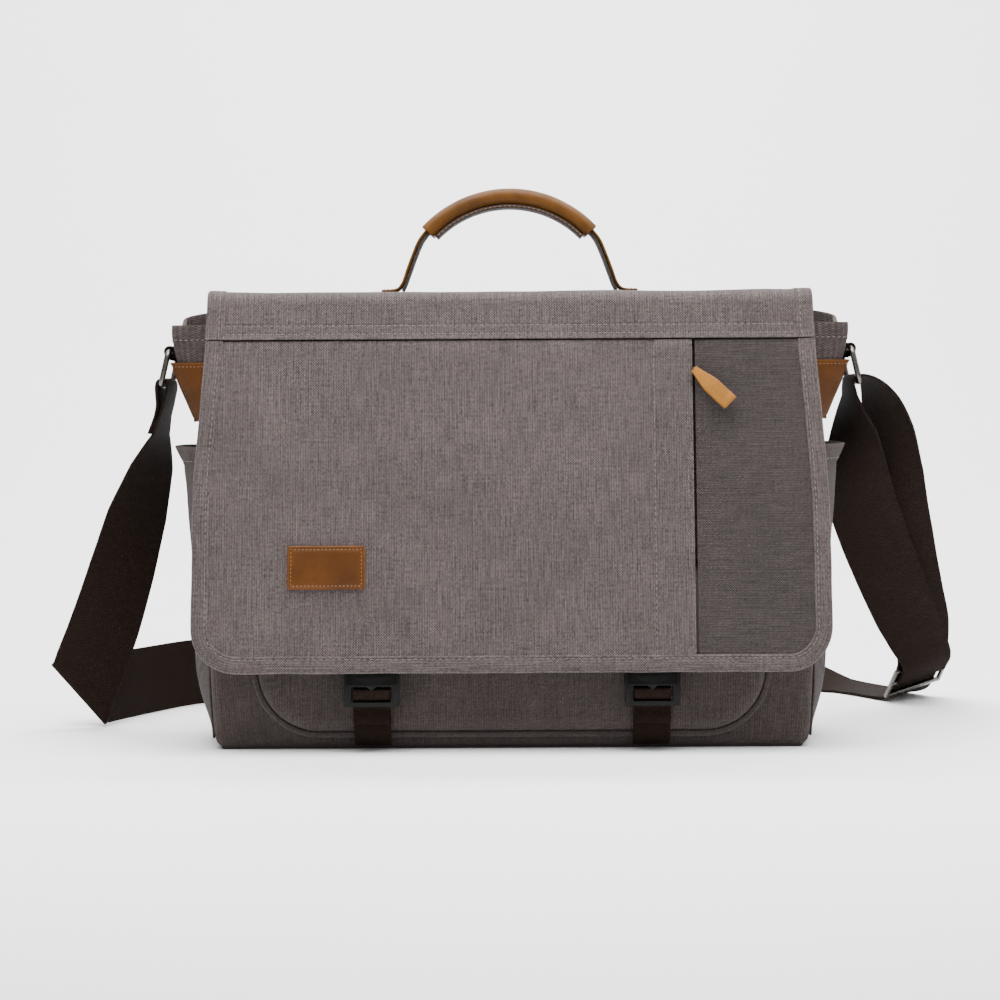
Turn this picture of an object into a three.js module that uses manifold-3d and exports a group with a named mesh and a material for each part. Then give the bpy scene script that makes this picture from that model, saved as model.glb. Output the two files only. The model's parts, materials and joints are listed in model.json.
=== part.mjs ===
// A canvas messenger bag that stands on its base: a body of sewn canvas panels,
// a flap in two lengths that folds over the front, a leather carrying handle,
// two side-release buckles, and a shoulder strap on two metal rings.
//
// Millimetres. +Z is up, the front faces -Y, and X = 0 is the middle of the bag.

import * as THREE from 'three';
import { mergeVertices } from 'three/addons/utils/BufferGeometryUtils.js';
import Module from 'manifold-3d';

const wasm = await Module();
wasm.setup();

const { lerp, smoothstep, clamp, degToRad } = THREE.MathUtils;

// ---------------------------------------------------------------- sizes

const GAP = 0.4;                 // clearance between neighbouring pieces

// body
const BODY_HEIGHT = 289;         // front panel and gusset hems
const BASE_HALF_WIDTH = 201;
const TOP_HALF_WIDTH = BASE_HALF_WIDTH - 1;
const SIDE_SWELL = 6;            // how far the sides stand out at half height
const FRONT_BASE = 52;           // centre plane to the front face, at the floor
const FRONT_TOP = 40;
const FRONT_CROWN = 3;
const BACK_BASE = 60;
const BACK_TOP = 50;
const BACK_CROWN = 2;
const PANEL = 3;                 // canvas, foam and facing together
const BASE_THICKNESS = 4;
const BASE_CORNER = 6;
const BACK_RISE = 11;            // the back panel stands this far above the front

// gussets: plain below, folded out towards their hems
const GUSSET_FLARE = 33;
const FLARE_START = BODY_HEIGHT - 99;
const FLARE_EDGE = 0.18;         // share of the depth taken by each sloping edge

// lining and laptop sleeve
const LINING = 1.4;
const LINING_SIDE_EASE = 2;      // slack of the lining inside the folded gussets
const LINING_DROP = 4;           // lining hem below the body hem
const SLEEVE_PAD = 5;
const SLEEVE_SPACE = 30;         // room for the laptop
const SLEEVE_HEIGHT = BODY_HEIGHT - 49;

// front patch pocket
const POCKET_HALF_WIDTH = BASE_HALF_WIDTH - 29;
const POCKET_FOOT = 13;
const POCKET_HEIGHT = 150;
const POCKET_CORNER = 42;
const POCKET_DEPTH = 7;
const POCKET_EDGE = 10;          // width over which the pocket rises to its depth
const CLOTH = 2;
const PIPING_RADIUS = 2;

// side pockets
const SIDE_POCKET_TOP = BODY_HEIGHT - 84;
const SIDE_POCKET_FOOT = 7;
const SIDE_POCKET_DEPTH = 13;
const SIDE_POCKET_LIP = 11;      // how much further the open rim stands out
const SIDE_POCKET_MARGIN = 3;

// flap
const FLAP_TOP = BODY_HEIGHT + BACK_RISE + 11;    // outer face of the top strip
const FLAP_TOP_HALF = TOP_HALF_WIDTH + 5.5;
const FLAP_HEM_HALF = BASE_HALF_WIDTH + 13.5;
const FLAP_WIDENING = 160;       // height over which the flap widens
const FLAP_SEAM_Z = FLAP_TOP - 33;                // where the panel hangs from the strip
const FLAP_HEM_Z = 55;
const FLAP_SEAM_DEPTH = FRONT_TOP + 14;           // centre plane to the outer face, at the seam
const FLAP_HEM_DEPTH = FRONT_BASE + 29;
const FLAP_CORNER = 30;
const STRIP = 3;
const STRIP_BACK_RADIUS = 7;
const STRIP_FRONT_RADIUS = 10;
const HINGE_CLEARANCE = 0.8;
const BINDING_WIDTH = 11;
const BINDING = 1;
const FLAP_CLOTH = 1.6;
const LINING_OFFSET = 2.4;       // outer face of the flap to its lining
const FLAP_LINING = 1.2;

// vertical zip pocket in the flap
const PLACKET_LEFT = 97;
const PLACKET_RIGHT = 122;
const ZIP_SLOT = 5;              // open line between the placket and the side panel
const ZIP_X = PLACKET_RIGHT - 4;
const ZIP_TOP = FLAP_SEAM_Z - 10;
const ZIP_LENGTH = FLAP_SEAM_Z - FLAP_HEM_Z - 83;  // ends above the buckle's webbing
const ZIP_TAPE = 11;
const ZIP_SPLIT = 1.0;           // between the two rows of teeth
const ZIP_CLOTH = 0.8;           // thickness of the tape
const ZIP_TEETH = 1.8;           // thickness of the teeth
const ZIP_TOOTH = 2.2;           // depth of a tooth from the tape's edge
const ZIP_DEPTH = 4.3;           // outer face of the flap to the middle of the zip
const ZIP_BULGE = 4.8;           // how far the lining stands off behind the zip
const ZIP_BULGE_HALF = 28;
const ZIP_BULGE_FOOT = 10;       // height over which the lining closes below the zip
const SLIDER_WIDTH = 9;
const SLIDER_LENGTH = 10;
const SLIDER_PLATE = 0.9;
const SLIDER_INSIDE = 1.3;       // half of the space between the plates
const SLIDER_WEB = 0.4;          // thin enough to pass between the rows of teeth
const LUG_HEIGHT = 6;
const SLIDER_Z = ZIP_TOP - 12;
const PULL_LENGTH = 34;
const PULL_WIDTH = 11;
const PULL_THICKNESS = 2.4;
const PULL_CORNER = 3;
const PULL_LIFT = 2;             // between the flap and the back of the pull
const PULL_TURN = degToRad(45);

// leather patch
const PATCH_X = -124;
const PATCH_Z = 125;
const PATCH_WIDTH = 52;
const PATCH_HEIGHT = 29;
const PATCH_THICKNESS = 1.6;

// side-release buckles
const BUCKLE_X = 94;
const BUCKLE_WIDTH = 37;
const BUCKLE_WEBBING = 25;
const WEBBING = 1.3;
const SEWN_WEBBING = 12;         // webbing sewn to the flap above each socket
const MALE_LENGTH = 22;
const MALE_THICKNESS = 6.5;
const MALE_Z = 33;               // lower edge of the plug half
const PRONG_LENGTH = 17;
const PRONG_WIDTH = 5;
const PRONG_THICKNESS = 3.2;
const GUIDE_WIDTH = 4;
const FEMALE_LENGTH = 33;
const FEMALE_THICKNESS = 8.6;
const FEMALE_WALL = 1.7;
const LADDER_SLOT = 4;
const LADDER_EDGE = 2.5;         // outermost bar of either half
const LADDER_BAR = 3;            // bar between the plug's two slots
const GUIDE_SHORT = 3;           // how far the guide stops below the prongs
const CAVITY_SPARE = 3;          // the socket is deeper than the prongs are long
const WINDOW_FOOT = 6;           // socket mouth to the window for the prongs
const WINDOW_HEAD = 4;           // window to the end of the cavity
const BUCKLE_CLEARANCE = 1.2;    // from the tips of the plug to the socket

// handle
const HANDLE_FOOT_OUTER = 88;
const HANDLE_FOOT_INNER = 70;
const HANDLE_WIDTH = 22;
const HANDLE_LEATHER = 2;
const HANDLE_CANVAS = 1.5;
const HANDLE_LEG_X = 75;
const HANDLE_ARCH = 77.5;        // radius of the arched grip
const HANDLE_GRIP_ANGLE = degToRad(47);
const HANDLE_RISE = 67;          // strip to the middle of the grip
const GRIP_WIDTH = 27;
const GRIP_THICKNESS = 11.8;

// rings, webbing tabs and leather anchors
const RING_INNER = 52;
const RING_HEIGHT = 24;          // between the two long bars
const RING_WIRE = 2;             // wire radius
const RING_CORNER = 5;
const RING_LEAN = degToRad(13);
const RING_Z = BODY_HEIGHT - 18;
const TAB_WIDTH = 48;
const TAB = 1.4;
const TAB_FOOT = RING_Z - 35;
const ANCHOR_TOP = RING_Z - 8;
const ANCHOR_HEIGHT = 41;
const ANCHOR_HALF_WIDTH = 30;
const ANCHOR = 2;

// shoulder strap
const STRAP_WIDTH = 50;
const STRAP = 1.8;
const ADJUSTER_LENGTH = 28;
const ADJUSTER_BAR = 3.2;
const ADJUSTER_THICKNESS = 3;

// ---------------------------------------------------------------- materials

function finish(color, roughness, metalness = 0) {
  return new THREE.MeshStandardMaterial({ color, roughness, metalness });
}

const canvas = finish(0x706664, 0.95);
const darkCanvas = finish(0x4b4240, 0.95);
const liningCloth = finish(0x3a3433, 0.85);
const leather = finish(0x96642d, 0.55);
const darkLeather = finish(0x73481f, 0.6);
const webbing = finish(0x261e1c, 0.8);
const metal = finish(0x8b8984, 0.3, 1);
const plastic = finish(0x1d1d1b, 0.45);

// ---------------------------------------------------------------- shape helpers

// A closed body from points and triangles, turned so that its faces point out.
function closedBody(points, triangles) {
  let volume = 0;
  for (const [i, j, k] of triangles) {
    volume += points[i].dot(new THREE.Vector3().crossVectors(points[j], points[k]));
  }
  const index = triangles.flatMap(([i, j, k]) => (volume > 0 ? [i, j, k] : [i, k, j]));
  const geometry = new THREE.BufferGeometry();
  geometry.setAttribute(
    'position',
    new THREE.Float32BufferAttribute(points.flatMap((p) => [p.x, p.y, p.z]), 3),
  );
  geometry.setIndex(index);
  return geometry;
}

function steps(from, to, count) {
  return Array.from({ length: count + 1 }, (_, i) => lerp(from, to, i / count));
}

// A sheet of cloth: two faces over the same grid, joined round their rim.
function slab(us, vs, outer, inner) {
  const points = [];
  for (const face of [outer, inner]) {
    for (const v of vs) {
      for (const u of us) points.push(face(u, v));
    }
  }
  const nu = us.length;
  const nv = vs.length;
  const at = (face, i, j) => face * nu * nv + j * nu + i;
  const triangles = [];
  const quad = (a, b, c, d) => triangles.push([a, b, c], [a, c, d]);
  for (let j = 0; j < nv - 1; j++) {
    for (let i = 0; i < nu - 1; i++) {
      quad(at(0, i, j), at(0, i + 1, j), at(0, i + 1, j + 1), at(0, i, j + 1));
      quad(at(1, i, j), at(1, i, j + 1), at(1, i + 1, j + 1), at(1, i + 1, j));
    }
    quad(at(0, 0, j), at(0, 0, j + 1), at(1, 0, j + 1), at(1, 0, j));
    quad(at(0, nu - 1, j), at(1, nu - 1, j), at(1, nu - 1, j + 1), at(0, nu - 1, j + 1));
  }
  for (let i = 0; i < nu - 1; i++) {
    quad(at(0, i, 0), at(1, i, 0), at(1, i + 1, 0), at(0, i + 1, 0));
    quad(at(0, i, nv - 1), at(0, i + 1, nv - 1), at(1, i + 1, nv - 1), at(1, i, nv - 1));
  }
  return closedBody(points, triangles);
}

// A section carried along stations. Each station has a centre p and two axes a and b,
// and the section lists its corners as [along a, along b]. The two broad sides of a band
// are split along the same diagonal, so that a twisted band keeps its thickness.
function sweep(stations, section, closed = false) {
  const points = stations.flatMap(({ p, a, b }) => section.map(([x, y]) => (
    p.clone().addScaledVector(a, x).addScaledVector(b, y)
  )));
  const n = section.length;
  const spans = closed ? stations.length : stations.length - 1;
  const triangles = [];
  for (let s = 0; s < spans; s++) {
    const next = (s + 1) % stations.length;
    for (let k = 0; k < n; k++) {
      const l = (k + 1) % n;
      const [a, b, c, d] = [s * n + k, s * n + l, next * n + l, next * n + k];
      if (k < n / 2) triangles.push([a, b, c], [a, c, d]);
      else triangles.push([a, b, d], [b, c, d]);
    }
  }
  if (!closed) {
    const last = (stations.length - 1) * n;
    for (let k = 1; k < n - 1; k++) {
      triangles.push([0, k + 1, k]);
      triangles.push([last, last + k, last + k + 1]);
    }
  }
  return closedBody(points, triangles);
}

function circle(radius, sides) {
  return Array.from({ length: sides }, (_, i) => {
    const angle = (2 * Math.PI * (i + 0.5)) / sides;
    return [radius * Math.cos(angle), radius * Math.sin(angle)];
  });
}

function rectangle(width, thickness) {
  const [x, y] = [width / 2, thickness / 2];
  return [[-x, -y], [x, -y], [x, y], [-x, y]];
}

// Direction of a line of points at one of them.
function tangentAt(points, i, closed = false) {
  const n = points.length;
  const before = closed ? points[(i + n - 1) % n] : points[Math.max(i - 1, 0)];
  const after = closed ? points[(i + 1) % n] : points[Math.min(i + 1, n - 1)];
  return after.clone().sub(before).normalize();
}

// A flat band along points: `across` gives its width direction at each.
function band(points, across, width, thickness) {
  const stations = points.map((p, i) => {
    const a = across(i).clone().normalize();
    const b = new THREE.Vector3().crossVectors(tangentAt(points, i), a).normalize();
    return { p, a, b };
  });
  return sweep(stations, rectangle(width, thickness));
}

function tube(points, radius, sides, side, closed = false) {
  const stations = points.map((p, i) => {
    const along = tangentAt(points, i, closed);
    const a = side.clone().addScaledVector(along, -side.dot(along)).normalize();
    return { p, a, b: new THREE.Vector3().crossVectors(along, a) };
  });
  return sweep(stations, circle(radius, sides), closed);
}

function box(x0, x1, y0, y1, z0, z1) {
  const geometry = new THREE.BoxGeometry(x1 - x0, y1 - y0, z1 - z0);
  geometry.translate((x0 + x1) / 2, (y0 + y1) / 2, (z0 + z1) / 2);
  return geometry;
}

function toSolid(geometry) {
  const bare = geometry.clone();
  bare.deleteAttribute('normal');
  bare.deleteAttribute('uv');
  const merged = mergeVertices(bare, 1e-4);
  return new wasm.Manifold(new wasm.Mesh({
    numProp: 3,
    vertProperties: new Float32Array(merged.attributes.position.array),
    triVerts: new Uint32Array(merged.index.array),
  }));
}

function fromSolid(solid) {
  const { vertProperties, triVerts } = solid.getMesh();
  const geometry = new THREE.BufferGeometry();
  geometry.setAttribute('position', new THREE.BufferAttribute(vertProperties, 3));
  geometry.setIndex(new THREE.BufferAttribute(triVerts, 1));
  return geometry;
}

// Adds some geometries together and cuts others away.
function carve(added, removed) {
  let solid = toSolid(added[0]);
  for (const piece of added.slice(1)) solid = solid.add(toSolid(piece));
  for (const piece of removed) solid = solid.subtract(toSolid(piece));
  return fromSolid(solid);
}

function mesh(name, geometry, material) {
  const made = new THREE.Mesh(geometry, material);
  made.name = name;
  return made;
}

const SIDES = [['left', -1], ['right', 1]];

// ---------------------------------------------------------------- outer form

function bodyHalfWidth(z) {
  const t = z / BODY_HEIGHT;
  return lerp(BASE_HALF_WIDTH, TOP_HALF_WIDTH, t) + SIDE_SWELL * 4 * t * (1 - t);
}

// How much a panel swells at a point: nothing at its edges, 1 in its middle.
function swell(x, z) {
  const t = clamp(z / BODY_HEIGHT, 0, 1);
  return 4 * t * (1 - t) * Math.max(0, 1 - (x / bodyHalfWidth(z)) ** 2);
}

function frontY(x, z) {
  return -lerp(FRONT_BASE, FRONT_TOP, z / BODY_HEIGHT) - FRONT_CROWN * swell(x, z);
}

function backY(x, z) {
  return lerp(BACK_BASE, BACK_TOP, Math.min(z / BODY_HEIGHT, 1)) + BACK_CROWN * swell(x, z);
}

function gussetFront(z) {
  return -lerp(FRONT_BASE, FRONT_TOP, z / BODY_HEIGHT) + PANEL + GAP;
}

function gussetBack(z) {
  return lerp(BACK_BASE, BACK_TOP, z / BODY_HEIGHT) - PANEL - GAP;
}

// Outer face of a gusset, as a distance from the middle of the bag.
function gussetX(y, z) {
  const t = (y - gussetFront(z)) / (gussetBack(z) - gussetFront(z));
  const across = smoothstep(t, 0, FLARE_EDGE) * (1 - smoothstep(t, 1 - FLARE_EDGE, 1));
  return bodyHalfWidth(z) + GUSSET_FLARE * smoothstep(z, FLARE_START, BODY_HEIGHT) * across;
}

const WALL_FOOT = BASE_THICKNESS + GAP;
const BACK_HEIGHT = BODY_HEIGHT + BACK_RISE;

function wallHeights(top) {
  const flareStart = Math.min(FLARE_START, top - 20);
  return [...steps(WALL_FOOT, flareStart, 4), ...steps(flareStart, top, 4).slice(1)];
}

function bottomPanel() {
  const [x, y0, y1, r] = [BASE_HALF_WIDTH, -FRONT_BASE, BACK_BASE, BASE_CORNER];
  const outline = new THREE.Shape();
  outline.absarc(x - r, y1 - r, r, 0, Math.PI / 2);
  outline.absarc(-x + r, y1 - r, r, Math.PI / 2, Math.PI);
  outline.absarc(-x + r, y0 + r, r, Math.PI, 1.5 * Math.PI);
  outline.absarc(x - r, y0 + r, r, 1.5 * Math.PI, 2 * Math.PI);
  const options = { depth: BASE_THICKNESS, bevelEnabled: false, curveSegments: 4 };
  return mesh('bottom_panel', new THREE.ExtrudeGeometry(outline, options), darkCanvas);
}

function uprightPanel(name, top, faceY, inward) {
  const face = (offset) => (u, z) => {
    const x = u * bodyHalfWidth(z);
    return new THREE.Vector3(x, faceY(x, z) + offset, z);
  };
  return mesh(name, slab(steps(-1, 1, 8), wallHeights(top), face(0), face(inward)), canvas);
}

// Shares of the depth at which the gussets and the lining are drawn.
const EDGE_SHARES = steps(0, FLARE_EDGE, 4);
const DEPTH_SHARES = [...EDGE_SHARES, 0.5, ...[...EDGE_SHARES].reverse().map((t) => 1 - t)];

function gusset(name, side) {
  const face = (inset) => (t, z) => {
    const y = lerp(gussetFront(z), gussetBack(z), t);
    return new THREE.Vector3(side * (gussetX(y, z) - inset), y, z);
  };
  return mesh(name, slab(DEPTH_SHARES, wallHeights(BODY_HEIGHT), face(0), face(PANEL)), canvas);
}

// ---------------------------------------------------------------- inside

// The closed line round the inside of the walls at height z.
function liningLoop(z, inset) {
  const clear = PANEL + GAP + inset;
  const loop = [];
  const half = bodyHalfWidth(z) - clear - LINING_SIDE_EASE;
  for (const u of steps(-1, 1, 6)) {
    loop.push(new THREE.Vector3(u * half, frontY(u * half, z) + clear, z));
  }
  const [y0, y1] = [gussetFront(z) + GAP + inset, gussetBack(z) - GAP - inset];
  const sideSteps = DEPTH_SHARES.slice(1, -1);
  const sideClear = clear + LINING_SIDE_EASE;
  for (const t of sideSteps) {
    const y = lerp(y0, y1, t);
    loop.push(new THREE.Vector3(gussetX(y, z) - sideClear, y, z));
  }
  for (const u of steps(1, -1, 6)) {
    loop.push(new THREE.Vector3(u * half, backY(u * half, z) - clear, z));
  }
  for (const t of [...sideSteps].reverse()) {
    const y = lerp(y0, y1, t);
    loop.push(new THREE.Vector3(sideClear - gussetX(y, z), y, z));
  }
  return loop;
}

function lining() {
  const foot = WALL_FOOT + GAP;
  const levels = wallHeights(BODY_HEIGHT - LINING_DROP);
  const outer = [foot, ...levels.slice(1)].map((z) => liningLoop(z, 0));
  const inner = [foot + LINING, ...levels.slice(1)].map((z) => liningLoop(z, LINING));
  const loops = [...outer, ...inner.reverse()];
  const n = loops[0].length;
  const points = loops.flat();
  const triangles = [];
  for (let s = 0; s < loops.length - 1; s++) {
    for (let k = 0; k < n; k++) {
      const l = (k + 1) % n;
      triangles.push([s * n + k, s * n + l, (s + 1) * n + l]);
      triangles.push([s * n + k, (s + 1) * n + l, (s + 1) * n + k]);
    }
  }
  for (const [ring, flip] of [[0, false], [loops.length - 1, true]]) {
    const middle = new THREE.Vector3();
    for (const p of loops[ring]) middle.add(p);
    const centre = points.push(middle.divideScalar(n)) - 1;
    for (let k = 0; k < n; k++) {
      const [a, b] = [ring * n + k, ring * n + ((k + 1) % n)];
      triangles.push(flip ? [a, b, centre] : [b, a, centre]);
    }
  }
  return mesh('lining', closedBody(points, triangles), liningCloth);
}

function laptopSleeve() {
  const clear = PANEL + LINING + 3 * GAP;
  const face = (offset) => (u, z) => {
    const x = u * (bodyHalfWidth(z) - clear - LINING_SIDE_EASE - 2 * GAP);
    return new THREE.Vector3(x, backY(x, z) - clear - SLEEVE_SPACE - offset, z);
  };
  const foot = WALL_FOOT + LINING + 2 * GAP;
  const heights = steps(foot, foot + SLEEVE_HEIGHT, 4);
  return mesh('laptop_sleeve', slab(steps(-1, 1, 6), heights, face(0), face(SLEEVE_PAD)), liningCloth);
}

// ---------------------------------------------------------------- pockets

const POCKET_TOP = POCKET_FOOT + POCKET_HEIGHT;

function roundedHalf(half, rise, radius) {
  if (rise >= radius) return half;
  return half - radius + Math.sqrt(radius ** 2 - (radius - Math.max(rise, 0)) ** 2);
}

function pocketHalf(z) {
  return roundedHalf(POCKET_HALF_WIDTH, z - POCKET_FOOT, POCKET_CORNER);
}

// How far the pocket's inside stands off the front panel.
function pocketStandoff(x, z) {
  const edge = Math.min(pocketHalf(z) - Math.abs(x), z - POCKET_FOOT);
  const rise = 1 - clamp(edge / POCKET_EDGE, 0, 1);
  return POCKET_DEPTH * Math.sqrt(1 - rise ** 2);
}

function pocketFaceY(x, z) {
  return frontY(x, z) - GAP - pocketStandoff(x, z) - CLOTH;
}

function cornerHeights(foot, radius, top, upperSteps) {
  const round = steps(0, Math.PI / 2, 6).map((angle) => foot + radius * (1 - Math.cos(angle)));
  return [...round, ...steps(foot + radius, top, upperSteps).slice(1)];
}

function frontPocket() {
  const us = [-1, -0.98, -0.94, ...steps(-0.85, 0.85, 8), 0.94, 0.98, 1];
  const face = (offset) => (u, z) => {
    const x = u * pocketHalf(z);
    return new THREE.Vector3(x, pocketFaceY(x, z) + offset, z);
  };
  const heights = cornerHeights(POCKET_FOOT, POCKET_CORNER, POCKET_TOP, 4);
  return mesh('front_pocket', slab(us, heights, face(0), face(CLOTH)), canvas);
}

function pocketPiping() {
  const out = PIPING_RADIUS + GAP;
  const [half, radius] = [POCKET_HALF_WIDTH + out, POCKET_CORNER + out];
  const foot = POCKET_FOOT - out;
  const line = [];
  const corner = (side, from, to) => {
    for (const angle of steps(from, to, 6)) {
      line.push([
        side * (half - radius + radius * Math.sin(angle)),
        foot + radius * (1 - Math.cos(angle)),
      ]);
    }
  };
  for (const z of steps(POCKET_TOP, foot + radius, 4).slice(0, -1)) line.push([-half, z]);
  corner(-1, Math.PI / 2, 0);
  for (const x of steps(-half + radius, half - radius, 6).slice(1, -1)) line.push([x, foot]);
  corner(1, 0, Math.PI / 2);
  for (const z of steps(foot + radius, POCKET_TOP, 4).slice(1)) line.push([half, z]);
  const points = line.map(([x, z]) => new THREE.Vector3(x, frontY(x, z) - out, z));
  return mesh('front_pocket_piping', tube(points, PIPING_RADIUS, 6, new THREE.Vector3(0, 1, 0)), darkCanvas);
}

function sidePocketStandoff(t, z) {
  const rise = Math.sin((Math.min(1, (z - SIDE_POCKET_FOOT) / 45) * Math.PI) / 2);
  const lip = SIDE_POCKET_LIP * (z / SIDE_POCKET_TOP) ** 4;
  return (SIDE_POCKET_DEPTH * rise + lip) * (1 - Math.abs(2 * t - 1) ** 2.6);
}

function sidePocket(name, side) {
  const face = (offset) => (t, z) => {
    const y = lerp(gussetFront(z) + SIDE_POCKET_MARGIN, gussetBack(z) - SIDE_POCKET_MARGIN, t);
    const x = gussetX(y, z) + GAP + sidePocketStandoff(t, z) + offset;
    return new THREE.Vector3(side * x, y, z);
  };
  const ts = [0, 0.03, 0.1, 0.22, 0.36, 0.5, 0.64, 0.78, 0.9, 0.97, 1];
  const heights = [
    ...steps(SIDE_POCKET_FOOT, SIDE_POCKET_FOOT + 45, 4),
    ...steps(SIDE_POCKET_FOOT + 45, SIDE_POCKET_TOP, 4).slice(1),
  ];
  return mesh(name, slab(ts, heights, face(CLOTH), face(0)), canvas);
}

// ---------------------------------------------------------------- flap

const FLAP_SLOPE = Math.atan((FLAP_HEM_DEPTH - FLAP_SEAM_DEPTH) / (FLAP_SEAM_Z - FLAP_HEM_Z));
const FLAP_OUT = new THREE.Vector3(0, -Math.cos(FLAP_SLOPE), Math.sin(FLAP_SLOPE));
const FLAP_UP = new THREE.Vector3(0, Math.sin(FLAP_SLOPE), Math.cos(FLAP_SLOPE));

// A point on the flap's front, `inward` of its outer face.
function flapPoint(x, z, inward = 0) {
  const y = -FLAP_SEAM_DEPTH - (FLAP_SEAM_Z - z) * Math.tan(FLAP_SLOPE);
  return new THREE.Vector3(x, y, z).addScaledVector(FLAP_OUT, -inward);
}

function flapHalf(z) {
  return lerp(FLAP_TOP_HALF, FLAP_HEM_HALF, smoothstep(FLAP_TOP - z, 0, FLAP_WIDENING));
}

function flapEdge(z) {
  return roundedHalf(flapHalf(z), z - FLAP_HEM_Z, FLAP_CORNER);
}

const PANEL_TOP = FLAP_SEAM_Z - GAP;
const FLAP_HEIGHTS = cornerHeights(FLAP_HEM_Z, FLAP_CORNER, PANEL_TOP, 5);

// Half of the top strip's section, from its back edge over the top and down to the seam.
function stripProfile(inward) {
  const top = FLAP_TOP - inward;
  const profile = [];
  const backRadius = STRIP_BACK_RADIUS - inward;
  const backEdge = BACK_TOP - HINGE_CLEARANCE;
  profile.push([backEdge - inward, BACK_HEIGHT + 2 * HINGE_CLEARANCE]);
  for (const angle of steps(0, Math.PI / 2, 4)) {
    profile.push([
      backEdge - STRIP_BACK_RADIUS + backRadius * Math.cos(angle),
      top - backRadius + backRadius * Math.sin(angle),
    ]);
  }
  const radius = STRIP_FRONT_RADIUS;
  const centreZ = FLAP_TOP - radius;
  const foot = flapPoint(0, centreZ + radius * Math.sin(FLAP_SLOPE));
  const centreY = foot.y + radius * Math.cos(FLAP_SLOPE);
  for (const angle of steps(Math.PI / 2, Math.PI - FLAP_SLOPE, 5)) {
    profile.push([
      centreY + (radius - inward) * Math.cos(angle),
      centreZ + (radius - inward) * Math.sin(angle),
    ]);
  }
  const end = flapPoint(0, FLAP_SEAM_Z, inward);
  profile.push([end.y, end.z]);
  return profile;
}

function flapTop() {
  const [outer, inner] = [stripProfile(0), stripProfile(STRIP)];
  const rows = outer.map((_, i) => i);
  const face = (profile) => (u, i) => {
    const [y, z] = profile[i];
    return new THREE.Vector3(u * flapHalf(z), y, z);
  };
  return mesh('flap_top', slab(steps(-1, 1, 4), rows, face(outer), face(inner)), canvas);
}

function flapTopBinding(name, side) {
  const [outer, inner] = [stripProfile(-GAP - BINDING), stripProfile(-GAP)];
  const rows = outer.map((_, i) => i);
  const face = (profile) => (inset, i) => {
    const [y, z] = profile[i];
    return new THREE.Vector3(side * (flapHalf(z) - inset), y, z);
  };
  return mesh(name, slab([0, BINDING_WIDTH], rows, face(outer), face(inner)), canvas);
}

function flapSheet(name, left, right, outer, thickness, material, columns, heights = FLAP_HEIGHTS) {
  const face = (extra) => (u, z) => {
    const x = lerp(left(z), right(z), u);
    return flapPoint(x, z, outer(x, z) + extra);
  };
  return mesh(name, slab(steps(0, 1, columns), heights, face(0), face(thickness)), material);
}

const ZIP_FOOT = ZIP_TOP - ZIP_LENGTH * Math.cos(FLAP_SLOPE);
const BULGE_FOOT = ZIP_FOOT - ZIP_BULGE_FOOT;

function liningOffset(x, z) {
  const near = 1 - clamp(Math.abs(x - ZIP_X) / ZIP_BULGE_HALF, 0, 1);
  const above = smoothstep(z, BULGE_FOOT, ZIP_FOOT - GAP);
  return LINING_OFFSET + ZIP_BULGE * smoothstep(near, 0, 0.5) * above;
}

const LINING_HEIGHTS = [
  ...FLAP_HEIGHTS.filter((z) => z < BULGE_FOOT),
  ...steps(BULGE_FOOT, ZIP_FOOT - GAP, 3),
  ...FLAP_HEIGHTS.filter((z) => z > ZIP_FOOT),
];

function flapCloths() {
  const sidePanelLeft = PLACKET_RIGHT + ZIP_SLOT;
  return [
    flapSheet('flap_panel', (z) => -flapEdge(z), () => PLACKET_LEFT - GAP,
      () => 0, FLAP_CLOTH, canvas, 6),
    flapSheet('zip_placket', () => PLACKET_LEFT, () => PLACKET_RIGHT,
      () => 0, FLAP_CLOTH, canvas, 1),
    flapSheet('flap_side_panel', () => sidePanelLeft, (z) => flapEdge(z),
      () => 0, FLAP_CLOTH, canvas, 2),
    flapSheet('flap_lining', (z) => GAP - flapEdge(z), (z) => flapEdge(z) - GAP,
      liningOffset, FLAP_LINING, liningCloth, 24, LINING_HEIGHTS),
  ];
}

// The folded hem round the sides and the foot of the flap.
function flapBinding() {
  const line = [];
  const corner = (side, from, to) => {
    for (const angle of steps(from, to, 6)) {
      const z = FLAP_HEM_Z + FLAP_CORNER * (1 - Math.cos(angle));
      const x = side * (flapHalf(z) - FLAP_CORNER + FLAP_CORNER * Math.sin(angle));
      line.push([x, z, -side * Math.sin(angle), Math.cos(angle)]);
    }
  };
  const upright = (side, heights) => {
    for (const z of heights) line.push([side * flapHalf(z), z, -side, 0]);
  };
  const shoulder = FLAP_HEM_Z + FLAP_CORNER;
  upright(-1, steps(PANEL_TOP, shoulder, 5).slice(0, -1));
  corner(-1, Math.PI / 2, 0);
  const flat = flapHalf(FLAP_HEM_Z) - FLAP_CORNER;
  for (const x of steps(-flat, flat, 4).slice(1, -1)) line.push([x, FLAP_HEM_Z, 0, 1]);
  corner(1, 0, Math.PI / 2);
  upright(1, steps(shoulder, PANEL_TOP, 5).slice(1));
  const face = (inward) => (i, inset) => {
    const [x, z, toX, toZ] = line[i];
    return flapPoint(x + inset * toX, z + inset * toZ, inward);
  };
  const rows = line.map((_, i) => i);
  return mesh(
    'flap_binding',
    slab(rows, [0, BINDING_WIDTH], face(-GAP - BINDING), face(-GAP)),
    canvas,
  );
}

function patch() {
  const face = (inward) => (x, z) => flapPoint(PATCH_X + x, PATCH_Z + z, inward);
  const xs = steps(-PATCH_WIDTH / 2, PATCH_WIDTH / 2, 2);
  const zs = steps(-PATCH_HEIGHT / 2, PATCH_HEIGHT / 2, 2);
  return mesh('leather_patch', slab(xs, zs, face(-GAP - PATCH_THICKNESS), face(-GAP)), darkLeather);
}

// ---------------------------------------------------------------- zip

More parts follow.
